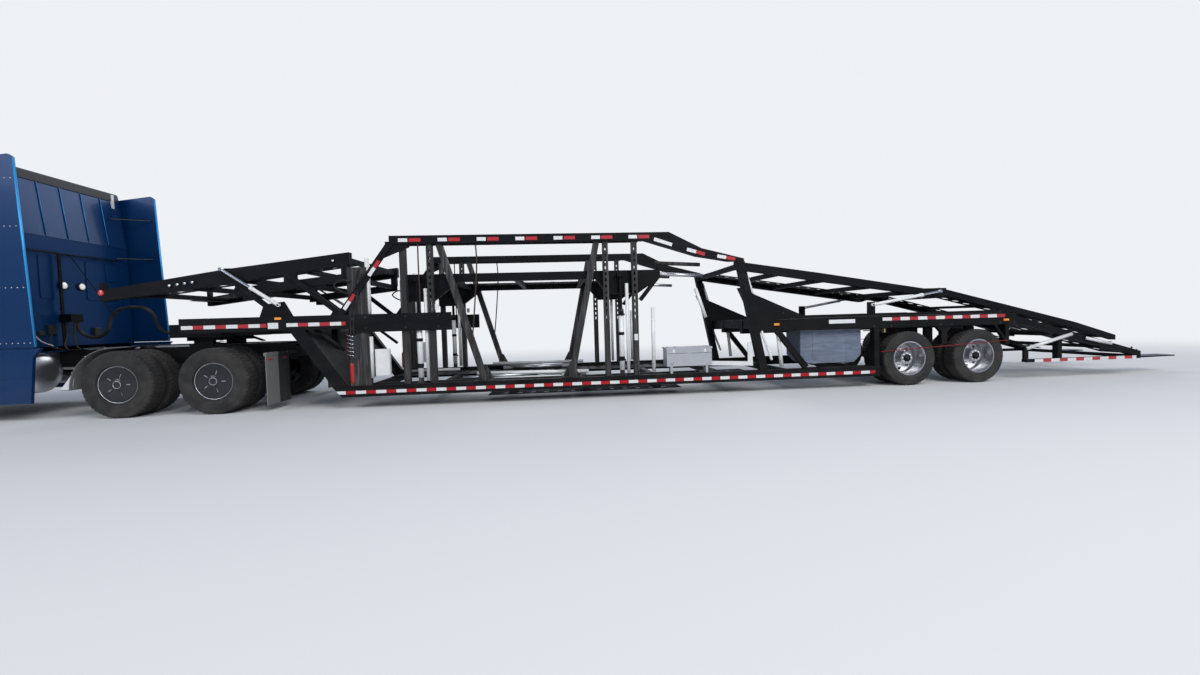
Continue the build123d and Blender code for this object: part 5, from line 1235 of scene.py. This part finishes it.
def studio_world(strength):
    """A world that is pale to the eye and through glass, and gives a plain blue light to everything else."""
    world = bpy.data.worlds.new("studio")
    world.use_nodes = True
    tree = world.node_tree
    tree.nodes.clear()
    rays = add_node(tree, "ShaderNodeLightPath").outputs
    seen = add_node(tree, "ShaderNodeMath", {0: rays["Is Camera Ray"], 1: rays["Is Transmission Ray"]},
                    operation="MAXIMUM").outputs[0]
    light = add_node(tree, "ShaderNodeBackground", {"Color": sky_tint, "Strength": strength}).outputs[0]
    view = add_node(tree, "ShaderNodeBackground", {"Color": backdrop, "Strength": 1.0}).outputs[0]
    both = add_node(tree, "ShaderNodeMixShader", {0: seen, 1: light, 2: view}).outputs[0]
    add_node(tree, "ShaderNodeOutputWorld", {"Surface": both})
    return world


def photo_camera(studio):
    """The camera of the photograph, turned by yaw, then pitch, then roll."""
    forward = Vector((math.sin(studio.yaw) * math.cos(studio.pitch),
                      math.cos(studio.yaw) * math.cos(studio.pitch), -math.sin(studio.pitch)))
    level = Vector((math.cos(studio.yaw), -math.sin(studio.yaw), 0))
    up = level.cross(forward)
    right = math.cos(studio.roll) * level + math.sin(studio.roll) * up
    top = right.cross(forward)
    camera = bpy.data.cameras.new("camera")
    camera.lens = studio.lens
    camera.sensor_width = 36
    camera.sensor_fit = "HORIZONTAL"
    camera.clip_end = 400
    eye = linked("camera", camera)
    eye.matrix_world = Matrix.Translation(studio.place) @ Matrix((right, top, -forward)).transposed().to_4x4()
    return eye


class TRANSPORTER_OT_stage(bpy.types.Operator):
    """Pale floor, soft light and the camera of the photograph"""
    bl_idname = "transporter.stage"
    bl_label = "Stage"

    def execute(self, context):
        scene = context.scene
        studio = scene.transporter_studio
        scene.view_settings.view_transform = "Standard"
        mesh = bpy.data.meshes.new("floor")
        mesh.from_pydata([(-90, -60, 0), (90, -60, 0), (90, 120, 0), (-90, 120, 0)], [], [[0, 1, 2, 3]])
        mesh.materials.append(floor_finish())
        floor = linked("floor", mesh)
        scene.world = studio_world(studio.sky)
        for name, place, aim in lamps:
            lamp = bpy.data.lights.new(name, "AREA")
            lamp.energy = getattr(studio, name)
            lamp.size = lamp_size
            thing = linked(name, lamp)
            thing.location = place
            thing.rotation_euler = (Vector(aim) - Vector(place)).to_track_quat("-Z", "Y").to_euler()
        scene.camera = photo_camera(studio)
        return {"FINISHED"}


class TRANSPORTER_PT_panel(bpy.types.Panel):
    """Buttons and settings for every piece of the looks"""
    bl_label = "Transporter"
    bl_idname = "TRANSPORTER_PT_panel"
    bl_space_type = "VIEW_3D"
    bl_region_type = "UI"
    bl_category = "Transporter"

    def draw(self, context):
        for operator in operators:
            self.layout.operator(operator.bl_idname)
        for name, group in groups.items():
            settings = getattr(context.scene, name)
            for key in group.__annotations__:
                self.layout.prop(settings, key)


operators = (TRANSPORTER_OT_paint, TRANSPORTER_OT_air_line, TRANSPORTER_OT_tyres,
             TRANSPORTER_OT_wheel_fittings, TRANSPORTER_OT_tape, TRANSPORTER_OT_sleeper_rear,
             TRANSPORTER_OT_cab_trim, TRANSPORTER_OT_nose_trim, TRANSPORTER_OT_rods,
             TRANSPORTER_OT_hoses, TRANSPORTER_OT_tower_fittings, TRANSPORTER_OT_post_fittings,
             TRANSPORTER_OT_deck_fittings, TRANSPORTER_OT_rear_fittings, TRANSPORTER_OT_box_fittings,
             TRANSPORTER_OT_bolts, TRANSPORTER_OT_stage)
groups = {"transporter_paint": TransporterPaint, "transporter_tyres": TransporterTyres,
          "transporter_tape": TransporterTape, "transporter_fasteners": TransporterFasteners,
          "transporter_hoses": TransporterHoses, "transporter_studio": TransporterStudio}
classes = (*groups.values(), *operators, TRANSPORTER_PT_panel)


def register():
    for one in classes:
        bpy.utils.register_class(one)
    for name, group in groups.items():
        setattr(bpy.types.Scene, name, PointerProperty(type=group))


def unregister():
    for name in groups:
        delattr(bpy.types.Scene, name)
    for one in reversed(classes):
        bpy.utils.unregister_class(one)


def main():
    """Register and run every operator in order."""
    register()
    for operator in operators:
        group, action = operator.bl_idname.split(".")
        getattr(getattr(bpy.ops, group), action)()


if __name__ == "__main__":
    main()
